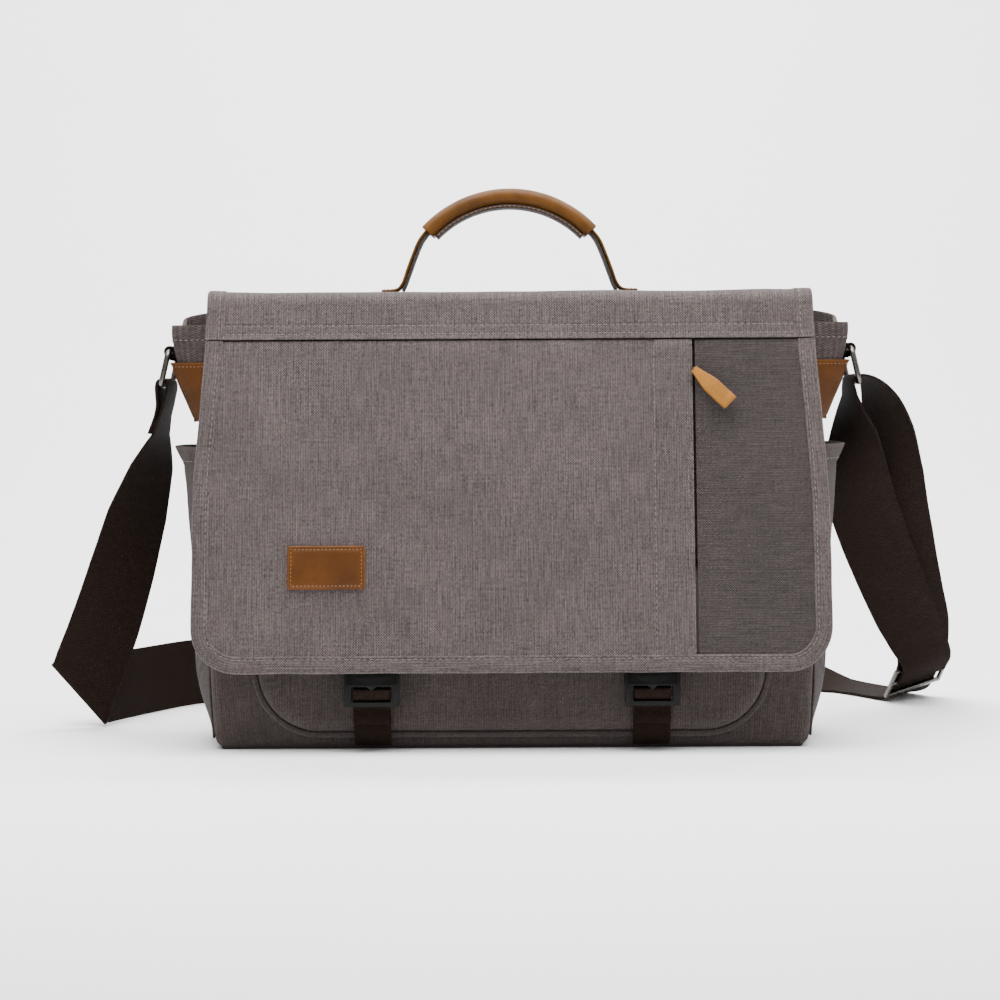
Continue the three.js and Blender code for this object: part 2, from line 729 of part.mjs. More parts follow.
// One side of the zip: a tape whose inner edge carries the teeth.
function zipSide(name, side) {
  const [tape, teeth, pitch] = [ZIP_CLOTH, ZIP_TEETH, ZIP_TOOTH];
  const section = [
    [ZIP_SPLIT / 2, -teeth / 2],
    [ZIP_SPLIT / 2 + pitch, -teeth / 2],
    [ZIP_SPLIT / 2 + pitch, -tape / 2],
    [ZIP_TAPE, -tape / 2],
    [ZIP_TAPE, tape / 2],
    [ZIP_SPLIT / 2 + pitch, tape / 2],
    [ZIP_SPLIT / 2 + pitch, teeth / 2],
    [ZIP_SPLIT / 2, teeth / 2],
  ];
  const outline = new THREE.Shape(section.map(([x, y]) => new THREE.Vector2(side * x, y)));
  const geometry = new THREE.ExtrudeGeometry(outline, { depth: ZIP_LENGTH, bevelEnabled: false });
  const made = mesh(name, geometry, webbing);
  made.position.copy(flapPoint(ZIP_X, ZIP_FOOT, ZIP_DEPTH));
  made.rotation.x = -FLAP_SLOPE;
  return made;
}

function zipSlider() {
  const [half, plate, web] = [SLIDER_WIDTH / 2, SLIDER_PLATE, SLIDER_WEB];
  const inside = SLIDER_INSIDE;
  const long = SLIDER_LENGTH / 2;
  const lugX = PLACKET_RIGHT + ZIP_SLOT / 2 - ZIP_X;
  const lugHalf = ZIP_SLOT / 2 - GAP;
  const lugOut = ZIP_DEPTH + PULL_LIFT - GAP;
  const geometry = carve([
    box(-half, lugX + lugHalf, -inside - plate, -inside, -long, long),
    box(-half, half, inside, inside + plate, -long, long),
    box(-web / 2, web / 2, -inside - plate / 2, inside + plate / 2, -long / 2, long),
    box(lugX - lugHalf, lugX + lugHalf, -lugOut, -inside - plate / 2,
      -LUG_HEIGHT / 2, LUG_HEIGHT / 2),
  ], []);
  const made = mesh('zip_slider', geometry, metal);
  made.position.copy(flapPoint(ZIP_X, SLIDER_Z, ZIP_DEPTH));
  made.rotation.x = -FLAP_SLOPE;
  return made;
}

function zipPull() {
  const half = PULL_WIDTH / 2;
  const outline = new THREE.Shape([
    [-half, 0], [half, 0], [half, -PULL_LENGTH + PULL_CORNER], [half - PULL_CORNER, -PULL_LENGTH],
    [-half + PULL_CORNER, -PULL_LENGTH], [-half, -PULL_LENGTH + PULL_CORNER],
  ].map(([x, y]) => new THREE.Vector2(x, y)));
  const geometry = new THREE.ExtrudeGeometry(outline, { depth: PULL_THICKNESS, bevelEnabled: false });
  const made = mesh('zip_pull', geometry, leather);
  const turned = new THREE.Group();
  made.rotation.z = PULL_TURN;
  turned.add(made);
  turned.rotation.x = Math.PI / 2 - FLAP_SLOPE;
  turned.position.copy(flapPoint(PLACKET_RIGHT + ZIP_SLOT / 2, SLIDER_Z, -PULL_LIFT));
  return turned;
}

// ---------------------------------------------------------------- buckles

const FEMALE_INWARD = LINING_OFFSET + FLAP_LINING + GAP + FEMALE_THICKNESS / 2;
const MALE_TIP = MALE_LENGTH + PRONG_LENGTH;
const FEMALE_FOOT = MALE_TIP + BUCKLE_CLEARANCE;

// Both halves are drawn upright, X across and Y through their thickness, from the
// lower edge of the plug half at z = 0, and are then laid along the flap.
function placeBuckle(made, side) {
  made.position.copy(flapPoint(side * BUCKLE_X, MALE_Z, FEMALE_INWARD));
  made.rotation.x = -FLAP_SLOPE;
  return made;
}

function buckleMale(name, side) {
  const [half, thick, slot] = [BUCKLE_WIDTH / 2, MALE_THICKNESS / 2, BUCKLE_WEBBING / 2 + 1];
  const prongOut = half - FEMALE_WALL - GAP;
  const prong = (s) => box(
    Math.min(s * prongOut, s * (prongOut - PRONG_WIDTH)),
    Math.max(s * prongOut, s * (prongOut - PRONG_WIDTH)),
    -PRONG_THICKNESS / 2, PRONG_THICKNESS / 2, MALE_LENGTH - 1, MALE_TIP,
  );
  const bar = (z) => box(-slot, slot, -2 * thick, 2 * thick, z, z + LADDER_SLOT);
  const geometry = carve([
    box(-half, half, -thick, thick, 0, MALE_LENGTH),
    prong(-1),
    prong(1),
    box(-GUIDE_WIDTH / 2, GUIDE_WIDTH / 2, -PRONG_THICKNESS / 2, PRONG_THICKNESS / 2,
      MALE_LENGTH - 1, MALE_TIP - GUIDE_SHORT),
  ], [bar(LADDER_EDGE), bar(LADDER_EDGE + LADDER_SLOT + LADDER_BAR)]);
  return placeBuckle(mesh(name, geometry, plastic), side);
}

function buckleFemale(name, side) {
  const [half, thick] = [BUCKLE_WIDTH / 2, FEMALE_THICKNESS / 2];
  const [foot, head] = [FEMALE_FOOT, FEMALE_FOOT + FEMALE_LENGTH];
  const cavity = foot + PRONG_LENGTH + CAVITY_SPARE;
  const slot = BUCKLE_WEBBING / 2 + 1;
  const geometry = carve([
    box(-half, half, -thick, thick, foot, head),
  ], [
    box(-half + FEMALE_WALL, half - FEMALE_WALL, -thick + FEMALE_WALL, thick - FEMALE_WALL,
      foot - 1, cavity),
    box(-half - 1, half + 1, -PRONG_THICKNESS / 2, PRONG_THICKNESS / 2, foot + WINDOW_FOOT,
      cavity - WINDOW_HEAD),
    box(-slot, slot, -thick - 1, thick + 1, head - LADDER_EDGE - LADDER_SLOT,
      head - LADDER_EDGE),
  ]);
  return placeBuckle(mesh(name, geometry, plastic), side);
}

const ACROSS = new THREE.Vector3(1, 0, 0);

// Webbing that hangs inside the flap, turns through the socket's slot and comes back up.
function flapWebbing(name, side) {
  const slotZ = FEMALE_FOOT + FEMALE_LENGTH - LADDER_EDGE - LADDER_SLOT / 2;
  const flat = FEMALE_THICKNESS / 2 + GAP + WEBBING / 2;
  const head = FEMALE_FOOT + FEMALE_LENGTH;
  const local = [
    [-FEMALE_THICKNESS / 2 + WEBBING / 2, head + SEWN_WEBBING],
    [-FEMALE_THICKNESS / 2 + WEBBING / 2, head + 5],
    [-FEMALE_THICKNESS / 2 + WEBBING, head + 3],
    [0.2, head + 1.6],
    [flat - 0.8, head + 1.5],
    [flat, head - 1],
    [flat - 0.3, slotZ + 1],
    [2.2, slotZ],
    [-1, slotZ],
  ];
  const points = local.map(([y, z]) => new THREE.Vector3(0, y, z));
  return placeBuckle(mesh(name, band(points, () => ACROSS, BUCKLE_WEBBING, WEBBING), webbing), side);
}

// Webbing sewn into the base seam, which comes up over the pocket behind the plug half.
function baseWebbing(name, side) {
  const x = side * BUCKLE_X;
  const clear = GAP + WEBBING / 2;
  const behind = FEMALE_INWARD + MALE_THICKNESS / 2 + clear;
  const pocketZ = POCKET_FOOT + POCKET_EDGE;
  const foot = POCKET_FOOT - 2 * (PIPING_RADIUS + GAP);
  const points = [
    new THREE.Vector3(x, frontY(x, foot) - clear, WALL_FOOT),
    new THREE.Vector3(x, frontY(x, foot) - 2 * PIPING_RADIUS - clear - 2, foot + 1),
    new THREE.Vector3(x, pocketFaceY(x, pocketZ) - clear, POCKET_FOOT + 2),
    new THREE.Vector3(x, pocketFaceY(x, pocketZ) - clear - 1, pocketZ),
    flapPoint(x, MALE_Z - 2, behind),
    flapPoint(x, MALE_Z + MALE_LENGTH - 2, behind),
  ];
  return mesh(name, band(points, () => ACROSS, BUCKLE_WEBBING, WEBBING), webbing);
}

// ---------------------------------------------------------------- handle

const DEPTH = new THREE.Vector3(0, 1, 0);
const HANDLE_Y = 0;
const FOOT_TOP = FLAP_TOP + GAP + HANDLE_LEATHER;

function handleFoot(name, side) {
  const [x0, x1, w] = [HANDLE_FOOT_INNER, HANDLE_FOOT_OUTER, HANDLE_WIDTH / 2];
  const foot = box(side > 0 ? x0 : -x1, side > 0 ? x1 : -x0, -w, w, FLAP_TOP + GAP, FOOT_TOP);
  return mesh(name, foot, leather);
}

// The handle's middle line in the XZ plane, from the left foot to the right one.
function handleLine() {
  const centreZ = FLAP_TOP + HANDLE_RISE - HANDLE_ARCH;
  const onArch = (angle) => [HANDLE_ARCH * Math.sin(angle), centreZ + HANDLE_ARCH * Math.cos(angle)];
  const [endX, endZ] = onArch(HANDLE_GRIP_ANGLE);
  const footZ = FOOT_TOP + 3 * GAP;
  const leg = (share, bow) => [
    lerp(endX, HANDLE_LEG_X, share) + bow,
    lerp(endZ, footZ, share),
  ];
  const right = [leg(0.25, 1.4), leg(0.5, 1.6), leg(0.75, 0.9), leg(1, 0)];
  const left = right.map(([x, z]) => [-x, z]).reverse();
  const arch = steps(-HANDLE_GRIP_ANGLE, HANDLE_GRIP_ANGLE, 10).map(onArch);
  return [...left, ...arch, ...right];
}

function handleLayer(name, thickness, outward, material) {
  const line = handleLine().map(([x, z]) => new THREE.Vector3(x, HANDLE_Y, z));
  const moved = line.map((p, i) => {
    const along = tangentAt(line, i);
    return p.clone().add(new THREE.Vector3(-along.z, 0, along.x).multiplyScalar(outward));
  });
  return mesh(name, band(moved, () => DEPTH, HANDLE_WIDTH, thickness), material);
}

// The leather grip: a sleeve along the arch with the strap's passage through it.
function handleGrip() {
  const sides = 16;
  const oval = (width, thickness, power) => Array.from({ length: sides }, (_, i) => {
    const angle = (2 * Math.PI * (i + 0.5)) / sides;
    const round = (v) => Math.sign(v) * Math.abs(v) ** power;
    return [(width / 2) * round(Math.cos(angle)), (thickness / 2) * round(Math.sin(angle))];
  });
  const passage = oval(HANDLE_WIDTH + 4 * GAP, HANDLE_LEATHER + HANDLE_CANVAS + 5 * GAP, 0.25);
  const outer = oval(GRIP_WIDTH, GRIP_THICKNESS, 0.7);
  const centreZ = FLAP_TOP + HANDLE_RISE - HANDLE_ARCH;
  const angles = steps(-HANDLE_GRIP_ANGLE, HANDLE_GRIP_ANGLE, 10);
  const ring = (angle, section) => section.map(([a, b]) => new THREE.Vector3(
    (HANDLE_ARCH + b) * Math.sin(angle), HANDLE_Y + a, centreZ + (HANDLE_ARCH + b) * Math.cos(angle),
  ));
  const loops = [
    ...angles.map((angle) => ring(angle, outer)),
    ...[...angles].reverse().map((angle) => ring(angle, passage)),
  ];
  const points = loops.flat();
  const triangles = [];
  for (let s = 0; s < loops.length; s++) {
    const next = (s + 1) % loops.length;
    for (let k = 0; k < sides; k++) {
      const l = (k + 1) % sides;
      triangles.push([s * sides + k, s * sides + l, next * sides + l]);
      triangles.push([s * sides + k, next * sides + l, next * sides + k]);
    }
  }
  return mesh('handle_grip', closedBody(points, triangles), leather);
}

// ---------------------------------------------------------------- rings and anchors

function ringY() {
  return (gussetFront(RING_Z) + gussetBack(RING_Z)) / 2;
}

// Distance of the ring's upper bar from the middle of the bag.
function ringX() {
  return gussetX(ringY(), RING_Z) + GAP + TAB + GAP + RING_WIRE;
}

function ring(name, side) {
  const [halfY, r] = [RING_INNER / 2 + RING_WIRE, RING_CORNER];
  const corners = [
    [halfY - r, -r, 0], [-halfY + r, -r, 1],
    [-halfY + r, -RING_HEIGHT + r, 2], [halfY - r, -RING_HEIGHT + r, 3],
  ];
  const points = corners.flatMap(([y, z, quarter]) => (
    steps(quarter * Math.PI / 2, (quarter + 1) * Math.PI / 2, 3).map((angle) => (
      new THREE.Vector3(0, y + r * Math.cos(angle), z + r * Math.sin(angle))
    ))
  ));
  const made = mesh(name, tube(points, RING_WIRE, 8, ACROSS, true), metal);
  made.position.set(side * ringX(), ringY(), RING_Z);
  made.rotation.y = -side * RING_LEAN;
  return made;
}

function ringTab(name, side) {
  const x = ringX();
  const reach = RING_WIRE + GAP + TAB / 2;
  const lay = (z) => gussetX(ringY(), z) + GAP + TAB / 2;
  const line = [
    ...steps(TAB_FOOT, RING_Z - 8, 6).map((z) => [lay(z), z]),
    ...steps(Math.PI, 0, 6).map((angle) => [
      x + reach * Math.cos(angle), RING_Z + reach * Math.sin(angle),
    ]),
    [x + reach - 0.6, RING_Z - 2.6],
    [x + 0.3, RING_Z - 4.8],
    [lay(RING_Z - 6) + TAB + GAP + 0.3, RING_Z - 6],
  ];
  const points = line.map(([along, z]) => new THREE.Vector3(side * along, ringY(), z));
  return mesh(name, band(points, () => DEPTH, TAB_WIDTH, TAB), webbing);
}

function anchor(name, side) {
  const offset = 4 * GAP + TAB;
  const halfWidth = (z) => {
    const down = (ANCHOR_TOP - z) / ANCHOR_HEIGHT;
    return lerp(ANCHOR_HALF_WIDTH, 2, down ** 1.4);
  };
  const face = (lift) => (u, z) => {
    const y = ringY() + u * halfWidth(z);
    return new THREE.Vector3(side * (gussetX(y, z) + offset + lift), y, z);
  };
  const heights = steps(ANCHOR_TOP - ANCHOR_HEIGHT, ANCHOR_TOP, 6);
  return mesh(name, slab(steps(-1, 1, 6), heights, face(ANCHOR), face(0)), darkLeather);
}

// ---------------------------------------------------------------- shoulder strap

// Each row of a route is a point on the strap's middle line, the direction across the
// strap there, and how much wider than square its section is cut.
const STRAP_ROUTE = [
  [-248.8, 8.2, 214, 0.08, 1, 0, 1],
  [-245.5, 6, 226, 0.02, 1, 0, 1],
  [-244.4, 5.2, 234, 0, 1, 0, 1],
  [-244.8, 5, 241, 0, 1, 0, 1],
  [-244.9, 5, 247.2, 0, 1, 0, 1],
  [-243.9, 5, 250.4, 0, 1, 0, 1],
  [-241.2, 5, 251.6, 0, 1, 0, 1],
  [-238.5, 5, 250.4, 0, 1, 0, 1],
  [-237.5, 5, 246.8, 0, 1, 0, 1],
  [-239, 5.2, 238, 0, 1, 0, 1],
  [-242.4, 6.2, 226, 0.02, 1, 0, 1],
  [-246, 9, 213, 0.09, 1, 0, 1],
  [-253.5, 18, 190, 0.5, 1, -0.1, 1],
  [-266, 31, 155, 1, 0.95, -0.28, 1],
  [-279, 43, 115, 1, 0.6, -0.35, 1],
  [-293, 53, 75, 1, 0.2, -0.34, 1],
  [-306, 58, 42, 0.86, 0, -0.5, 1.04],
  [-312.4, 58.7, 24.8, 0.663, 0, -0.748, 1.17],
  [-313.6, 60.2, 23.8, 0.663, 0, -0.748, 1.17],
  [-312.2, 61.8, 24.8, 0.663, 0, -0.748, 1.17],
  [-303, 68, 26, 0.4, 0.05, -0.92, 1.06],
  [-290, 88, 26, 0.12, 0.05, -1, 1],
  [-271, 128, 25.6, 0.02, 0, -1, 1],
  [-244, 172, 25.6, 0, 0, -1, 1],
  [-200, 208, 25.6, 0, 0, -1, 1],
  [-130, 228, 25.6, 0, 0, -1, 1],
  [-40, 236, 25.6, 0, 0, -1, 1],
  [60, 238, 25.6, 0, 0, -1, 1],
  [140, 241, 25.4, 0, -0.12, -1, 1],
  [196, 248, 21.5, 0, -0.7, -1, 1],
  [234, 253, 12.8, -0.05, -1, -0.5, 1],
  [266, 244, 3.2, -0.45, -1, -0.07, 1],
  [286, 223, 1.8, -0.79, -0.7, 0, 1],
  [300, 200, 2.6, -0.84, -0.5, -0.03, 1],
  [306.2, 189.5, 4.9, -0.82, -0.54, -0.1, 1],
  [308.5, 184.5, 7.6, -0.817, -0.551, -0.165, 1],
];

// The doubled length between the adjuster and the right ring.
const LOOP_ROUTE = [
  [308.7, 184, 8.3, 0.817, 0.551, 0.165, 1],
  [312.5, 174.3, 21.7, 0.817, 0.551, 0.165, 1],
  [316.3, 164.6, 35.1, 0.817, 0.53, 0.17, 1],
  [313.5, 153, 57, 0.84, 0.3, 0.3, 1],
  [303, 134, 88, 0.85, 0.1, 0.32, 1],
  [290, 104, 130, 0.85, -0.15, 0.3, 1],
  [277, 62, 176, 0.8, -0.45, 0.25, 1],
  [269, 32, 212, 0.6, -0.78, 0.15, 1],
  [261, 15, 236, 0.35, -0.93, 0.05, 1],
  [253, 7.5, 248.5, 0.12, -1, 0, 1],
  [246.4, 5.2, 252, 0, -1, 0, 1],
  [241.4, 5, 251.8, 0, -1, 0, 1],
  [238.3, 5, 250.2, 0, -1, 0, 1],
  [237.5, 5, 246.6, 0, -1, 0, 1],
  [238.4, 5.2, 238, 0.05, -1, 0, 1],
  [239, 8, 226, 0.25, -1, 0.05, 1],
  [241.5, 16, 208, 0.6, -0.85, 0.2, 1],
  [246, 33, 185, 0.85, -0.55, 0.33, 1],
  [254.5, 57, 160, 0.9, -0.25, 0.38, 1],
  [267.5, 83, 132, 0.9, -0.02, 0.42, 1],
  [283, 108, 101, 0.9, 0.12, 0.42, 1],
  [298, 130, 72, 0.88, 0.25, 0.38, 1],
  [310, 147, 50, 0.84, 0.42, 0.27, 1],
  [319.3, 161, 31.7, 0.817, 0.551, 0.165, 1],
  [315.95, 169.6, 19.9, 0.817, 0.551, 0.165, 1],
];

const ROUTE_STEP = 20;           // longest step along the strap's solids

function strapLength(name, route) {
  const centres = new THREE.CatmullRomCurve3(
    route.map(([x, y, z]) => new THREE.Vector3(x, y, z)), false, 'centripetal',
  );
  const widths = route.map(([, , , x, y, z, cut]) => (
    new THREE.Vector3(x, y, z).normalize().multiplyScalar((cut * STRAP_WIDTH) / 2)
  ));
  const points = [];
  const across = [];
  for (let row = 0; row < route.length - 1; row++) {
    const span = centres.points[row].distanceTo(centres.points[row + 1]);
    for (const share of steps(0, 1, Math.ceil(span / ROUTE_STEP)).slice(0, -1)) {
      points.push(centres.getPoint((row + share) / (route.length - 1)));
      across.push(widths[row].clone().lerp(widths[row + 1], share));
    }
  }
  points.push(centres.points.at(-1));
  across.push(widths.at(-1));
  const stations = points.map((p, i) => ({
    p,
    a: across[i],
    b: new THREE.Vector3().crossVectors(tangentAt(points, i), across[i]).normalize(),
  }));
  const section = [[-1, -STRAP / 2], [1, -STRAP / 2], [1, STRAP / 2], [-1, STRAP / 2]];
  return mesh(name, sweep(stations, section), webbing);
}

const ADJUSTER_AT = new THREE.Vector3(314, 172.5, 20);
const ADJUSTER_ALONG = new THREE.Vector3(0.225, -0.57, 0.79).normalize();
const ADJUSTER_ACROSS = new THREE.Vector3(0.817, 0.551, 0.165);

// A flat metal frame with a middle bar, which lies between the two layers of the strap.
function strapAdjuster() {
  const [halfX, halfY] = [STRAP_WIDTH / 2 + 1 + ADJUSTER_BAR, ADJUSTER_LENGTH / 2];
  const thick = ADJUSTER_THICKNESS / 2;
  const slot = (y0, y1) => box(-STRAP_WIDTH / 2 - 1, STRAP_WIDTH / 2 + 1, y0, y1, -2 * thick, 2 * thick);
  const edge = ADJUSTER_BAR / 2;
  const geometry = carve(
    [box(-halfX, halfX, -halfY, halfY, -thick, thick)],
    [slot(edge, halfY - ADJUSTER_BAR), slot(ADJUSTER_BAR - halfY, -edge)],
  );
  const made = mesh('strap_adjuster', geometry, metal);
  const normal = new THREE.Vector3().crossVectors(ADJUSTER_ACROSS, ADJUSTER_ALONG).normalize();
  const across = new THREE.Vector3().crossVectors(ADJUSTER_ALONG, normal);
  made.quaternion.setFromRotationMatrix(
    new THREE.Matrix4().makeBasis(across, ADJUSTER_ALONG, normal),
  );
  made.position.copy(ADJUSTER_AT);
  return made;
}

// ---------------------------------------------------------------- assembly

function group(...pieces) {
  const made = new THREE.Group();
  made.add(...pieces);
  return made;
}

function pair(make, name) {
  return SIDES.map(([word, side]) => make(`${name}_${word}`, side));
}

const body = group(
  bottomPanel(),
  uprightPanel('back_panel', BACK_HEIGHT, backY, -PANEL),
  uprightPanel('front_panel', BODY_HEIGHT, frontY, PANEL),
  ...pair(gusset, 'gusset'),
  lining(),
  laptopSleeve(),
  frontPocket(),
  pocketPiping(),
  ...pair(sidePocket, 'side_pocket'),
  ...pair(baseWebbing, 'base_webbing'),
);
const flap = group(
  flapTop(),
  ...pair(flapTopBinding, 'flap_top_binding'),
  ...flapCloths(),
  flapBinding(),
  patch(),
  ...pair(zipSide, 'zip_side'),
  ...pair(flapWebbing, 'flap_webbing'),
  ...pair(buckleFemale, 'buckle_female'),
);
const fittings = group(
  zipSlider(),
  zipPull(),
  ...pair(buckleMale, 'buckle_male'),
);
const handle = group(
  ...pair(handleFoot, 'handle_foot'),
  handleLayer('handle_strap', HANDLE_LEATHER, GAP / 2 + HANDLE_LEATHER / 2, leather),
  handleLayer('handle_lining', HANDLE_CANVAS, -GAP / 2 - HANDLE_CANVAS / 2, canvas),
  handleGrip(),
);
const carrying = group(
  ...pair(ringTab, 'ring_tab'),
  ...pair(ring, 'ring'),
  ...pair(anchor, 'leather_anchor'),
  strapLength('shoulder_strap', STRAP_ROUTE),
  strapLength('shoulder_strap_loop', LOOP_ROUTE),
  strapAdjuster(),
);

export default group(body, flap, fittings, handle, carrying);
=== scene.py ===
# %% [markdown]
# # A canvas messenger bag
# This lesson builds a canvas bag with a flap, a leather handle and a shoulder strap.
# A measured model is loaded first. It says where every part is and how it moves, and
# each step then makes the finished look of one part round it.

# %% Load the measured model
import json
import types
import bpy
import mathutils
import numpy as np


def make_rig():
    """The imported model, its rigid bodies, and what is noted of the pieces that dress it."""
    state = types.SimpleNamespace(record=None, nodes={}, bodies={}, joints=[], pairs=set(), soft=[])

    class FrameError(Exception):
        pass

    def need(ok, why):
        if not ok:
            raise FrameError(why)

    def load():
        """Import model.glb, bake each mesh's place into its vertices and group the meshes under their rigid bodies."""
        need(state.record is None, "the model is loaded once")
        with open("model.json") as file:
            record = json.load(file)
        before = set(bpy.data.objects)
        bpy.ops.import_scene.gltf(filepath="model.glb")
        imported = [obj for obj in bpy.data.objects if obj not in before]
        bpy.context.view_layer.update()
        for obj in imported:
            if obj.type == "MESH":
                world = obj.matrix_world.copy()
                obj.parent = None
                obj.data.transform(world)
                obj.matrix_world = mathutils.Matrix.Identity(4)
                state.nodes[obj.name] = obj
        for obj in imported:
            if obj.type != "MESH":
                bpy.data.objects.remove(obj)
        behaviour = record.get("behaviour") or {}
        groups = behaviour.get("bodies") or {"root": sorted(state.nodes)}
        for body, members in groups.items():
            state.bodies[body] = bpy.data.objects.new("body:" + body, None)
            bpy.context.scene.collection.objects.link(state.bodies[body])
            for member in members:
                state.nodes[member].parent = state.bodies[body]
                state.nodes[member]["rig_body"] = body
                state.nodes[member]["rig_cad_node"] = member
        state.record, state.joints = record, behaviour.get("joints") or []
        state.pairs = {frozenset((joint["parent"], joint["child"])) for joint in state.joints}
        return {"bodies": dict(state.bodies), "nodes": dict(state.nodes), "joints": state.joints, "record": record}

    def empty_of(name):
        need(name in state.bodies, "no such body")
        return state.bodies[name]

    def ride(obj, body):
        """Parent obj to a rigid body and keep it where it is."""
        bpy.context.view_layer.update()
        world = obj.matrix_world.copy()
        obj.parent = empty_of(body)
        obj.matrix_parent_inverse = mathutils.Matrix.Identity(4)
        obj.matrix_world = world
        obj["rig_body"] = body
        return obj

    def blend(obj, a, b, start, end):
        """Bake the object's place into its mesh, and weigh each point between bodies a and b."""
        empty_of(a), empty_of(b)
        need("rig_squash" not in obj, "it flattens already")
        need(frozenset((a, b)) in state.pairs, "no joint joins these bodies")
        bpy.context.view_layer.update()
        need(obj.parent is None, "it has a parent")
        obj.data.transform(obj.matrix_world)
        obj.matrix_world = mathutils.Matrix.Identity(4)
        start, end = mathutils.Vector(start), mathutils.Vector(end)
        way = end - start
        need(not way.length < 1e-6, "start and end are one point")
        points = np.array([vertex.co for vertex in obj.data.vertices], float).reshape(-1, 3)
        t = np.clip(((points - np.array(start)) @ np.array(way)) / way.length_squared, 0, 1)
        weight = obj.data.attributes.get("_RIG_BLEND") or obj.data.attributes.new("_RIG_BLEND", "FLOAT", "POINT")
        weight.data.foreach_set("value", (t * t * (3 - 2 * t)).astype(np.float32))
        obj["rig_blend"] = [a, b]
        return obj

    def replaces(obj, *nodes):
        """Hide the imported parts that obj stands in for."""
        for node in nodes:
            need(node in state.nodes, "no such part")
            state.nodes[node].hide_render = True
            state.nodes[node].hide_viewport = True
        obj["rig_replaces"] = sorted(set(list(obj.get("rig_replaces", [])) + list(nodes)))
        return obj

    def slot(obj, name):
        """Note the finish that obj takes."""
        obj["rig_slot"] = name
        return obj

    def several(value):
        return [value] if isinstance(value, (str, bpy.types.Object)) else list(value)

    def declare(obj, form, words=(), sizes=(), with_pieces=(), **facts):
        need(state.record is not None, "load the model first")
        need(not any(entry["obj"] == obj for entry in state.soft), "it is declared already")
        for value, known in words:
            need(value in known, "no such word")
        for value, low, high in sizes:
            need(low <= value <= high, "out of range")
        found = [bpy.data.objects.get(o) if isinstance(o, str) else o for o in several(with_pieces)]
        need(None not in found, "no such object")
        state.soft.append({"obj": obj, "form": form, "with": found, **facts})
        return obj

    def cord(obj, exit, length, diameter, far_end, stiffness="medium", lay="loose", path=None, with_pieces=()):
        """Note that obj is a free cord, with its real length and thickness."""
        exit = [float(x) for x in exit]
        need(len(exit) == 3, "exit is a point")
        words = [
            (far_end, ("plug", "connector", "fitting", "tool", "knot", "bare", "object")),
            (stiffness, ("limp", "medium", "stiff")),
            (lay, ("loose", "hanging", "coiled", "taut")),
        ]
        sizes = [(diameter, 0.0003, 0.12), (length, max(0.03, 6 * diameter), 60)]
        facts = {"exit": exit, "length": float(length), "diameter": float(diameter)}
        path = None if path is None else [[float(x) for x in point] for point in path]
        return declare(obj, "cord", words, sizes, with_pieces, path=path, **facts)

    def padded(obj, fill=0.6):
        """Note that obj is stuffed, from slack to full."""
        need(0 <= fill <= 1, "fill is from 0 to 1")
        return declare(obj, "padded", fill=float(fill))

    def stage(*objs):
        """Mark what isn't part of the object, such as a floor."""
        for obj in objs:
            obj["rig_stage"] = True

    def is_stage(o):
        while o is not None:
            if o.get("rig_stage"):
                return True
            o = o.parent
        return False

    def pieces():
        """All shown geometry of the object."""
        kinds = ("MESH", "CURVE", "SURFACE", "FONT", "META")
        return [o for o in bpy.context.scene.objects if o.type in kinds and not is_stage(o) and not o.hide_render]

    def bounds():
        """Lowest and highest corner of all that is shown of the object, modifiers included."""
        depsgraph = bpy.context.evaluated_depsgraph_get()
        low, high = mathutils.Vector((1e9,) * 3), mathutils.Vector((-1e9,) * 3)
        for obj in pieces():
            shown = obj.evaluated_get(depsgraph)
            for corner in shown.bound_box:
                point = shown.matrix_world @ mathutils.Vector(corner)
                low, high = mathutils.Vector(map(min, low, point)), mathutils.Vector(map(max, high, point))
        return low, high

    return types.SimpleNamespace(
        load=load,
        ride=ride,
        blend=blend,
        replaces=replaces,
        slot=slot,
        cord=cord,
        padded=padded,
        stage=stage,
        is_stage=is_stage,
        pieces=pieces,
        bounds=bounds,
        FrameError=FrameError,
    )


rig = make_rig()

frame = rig.load()

import json
import math

import bpy
import numpy as np
from mathutils import Matrix, Vector, noise

cad_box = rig.bounds()
print("measured model:", [[round(c, 3) for c in corner] for corner in cad_box])

# %% [markdown]
# ## Camera
# A long lens from about a metre and a half keeps the front of the bag free of
# perspective. The lens is level with the upper part of the bag and shifted down,
# as a shift lens is, so that upright edges stay upright.

# %% Camera
bpy.ops.object.select_all(action="DESELECT")
bpy.ops.object.camera_add(
    location=(-0.007, -1.68, 0.2535), rotation=(math.radians(90), math.radians(0.3), 0)
)
camera = bpy.context.object
camera.data.lens = 86.4
camera.data.sensor_width = 36
camera.data.shift_y = -0.125
bpy.context.scene.camera = camera
print("camera stands", round(-camera.location.y, 2), "m in front")

# %% [markdown]
# ## Cloth and bands
# Two shapes make most of a bag. A cloth is a grid whose points are laid by a function,
# so one function can sag, pucker and fold it. A band is a section carried along a line,
# which suits webbing, piping and wire. Both are given UVs in metres, so a weave has
# the same size on every piece. Drawing each panel by hand would work too, but the
# neighbours would not share one surface.

# %% Selecting, mixing and spacing
SIDES = (("left", -1), ("right", 1))


def mix(a, b, t):
    return a + (b - a) * t


def ease(t, start=0.0, end=1.0):
    t = min(max((t - start) / (end - start), 0.0), 1.0)
    return t * t * (3 - 2 * t)


def spread(start, end, count):
    return [mix(start, end, i / count) for i in range(count + 1)]


def run_along(places):
    """How far each place is along the line through them."""
    return list(np.cumsum([0.0] + [(b - a).length for a, b in zip(places, places[1:])]))


def rumple(x, y, z, size, amount, seed):
    """Low waves, as cloth has where it isn't pulled flat."""
    return amount * noise.noise(Vector((x / size + seed, y / size, z / size)))


def dent(distance, width):
    """1 on a line and 0 away from it, for a groove or a ridge."""
    return math.exp(-((distance / width) ** 2))


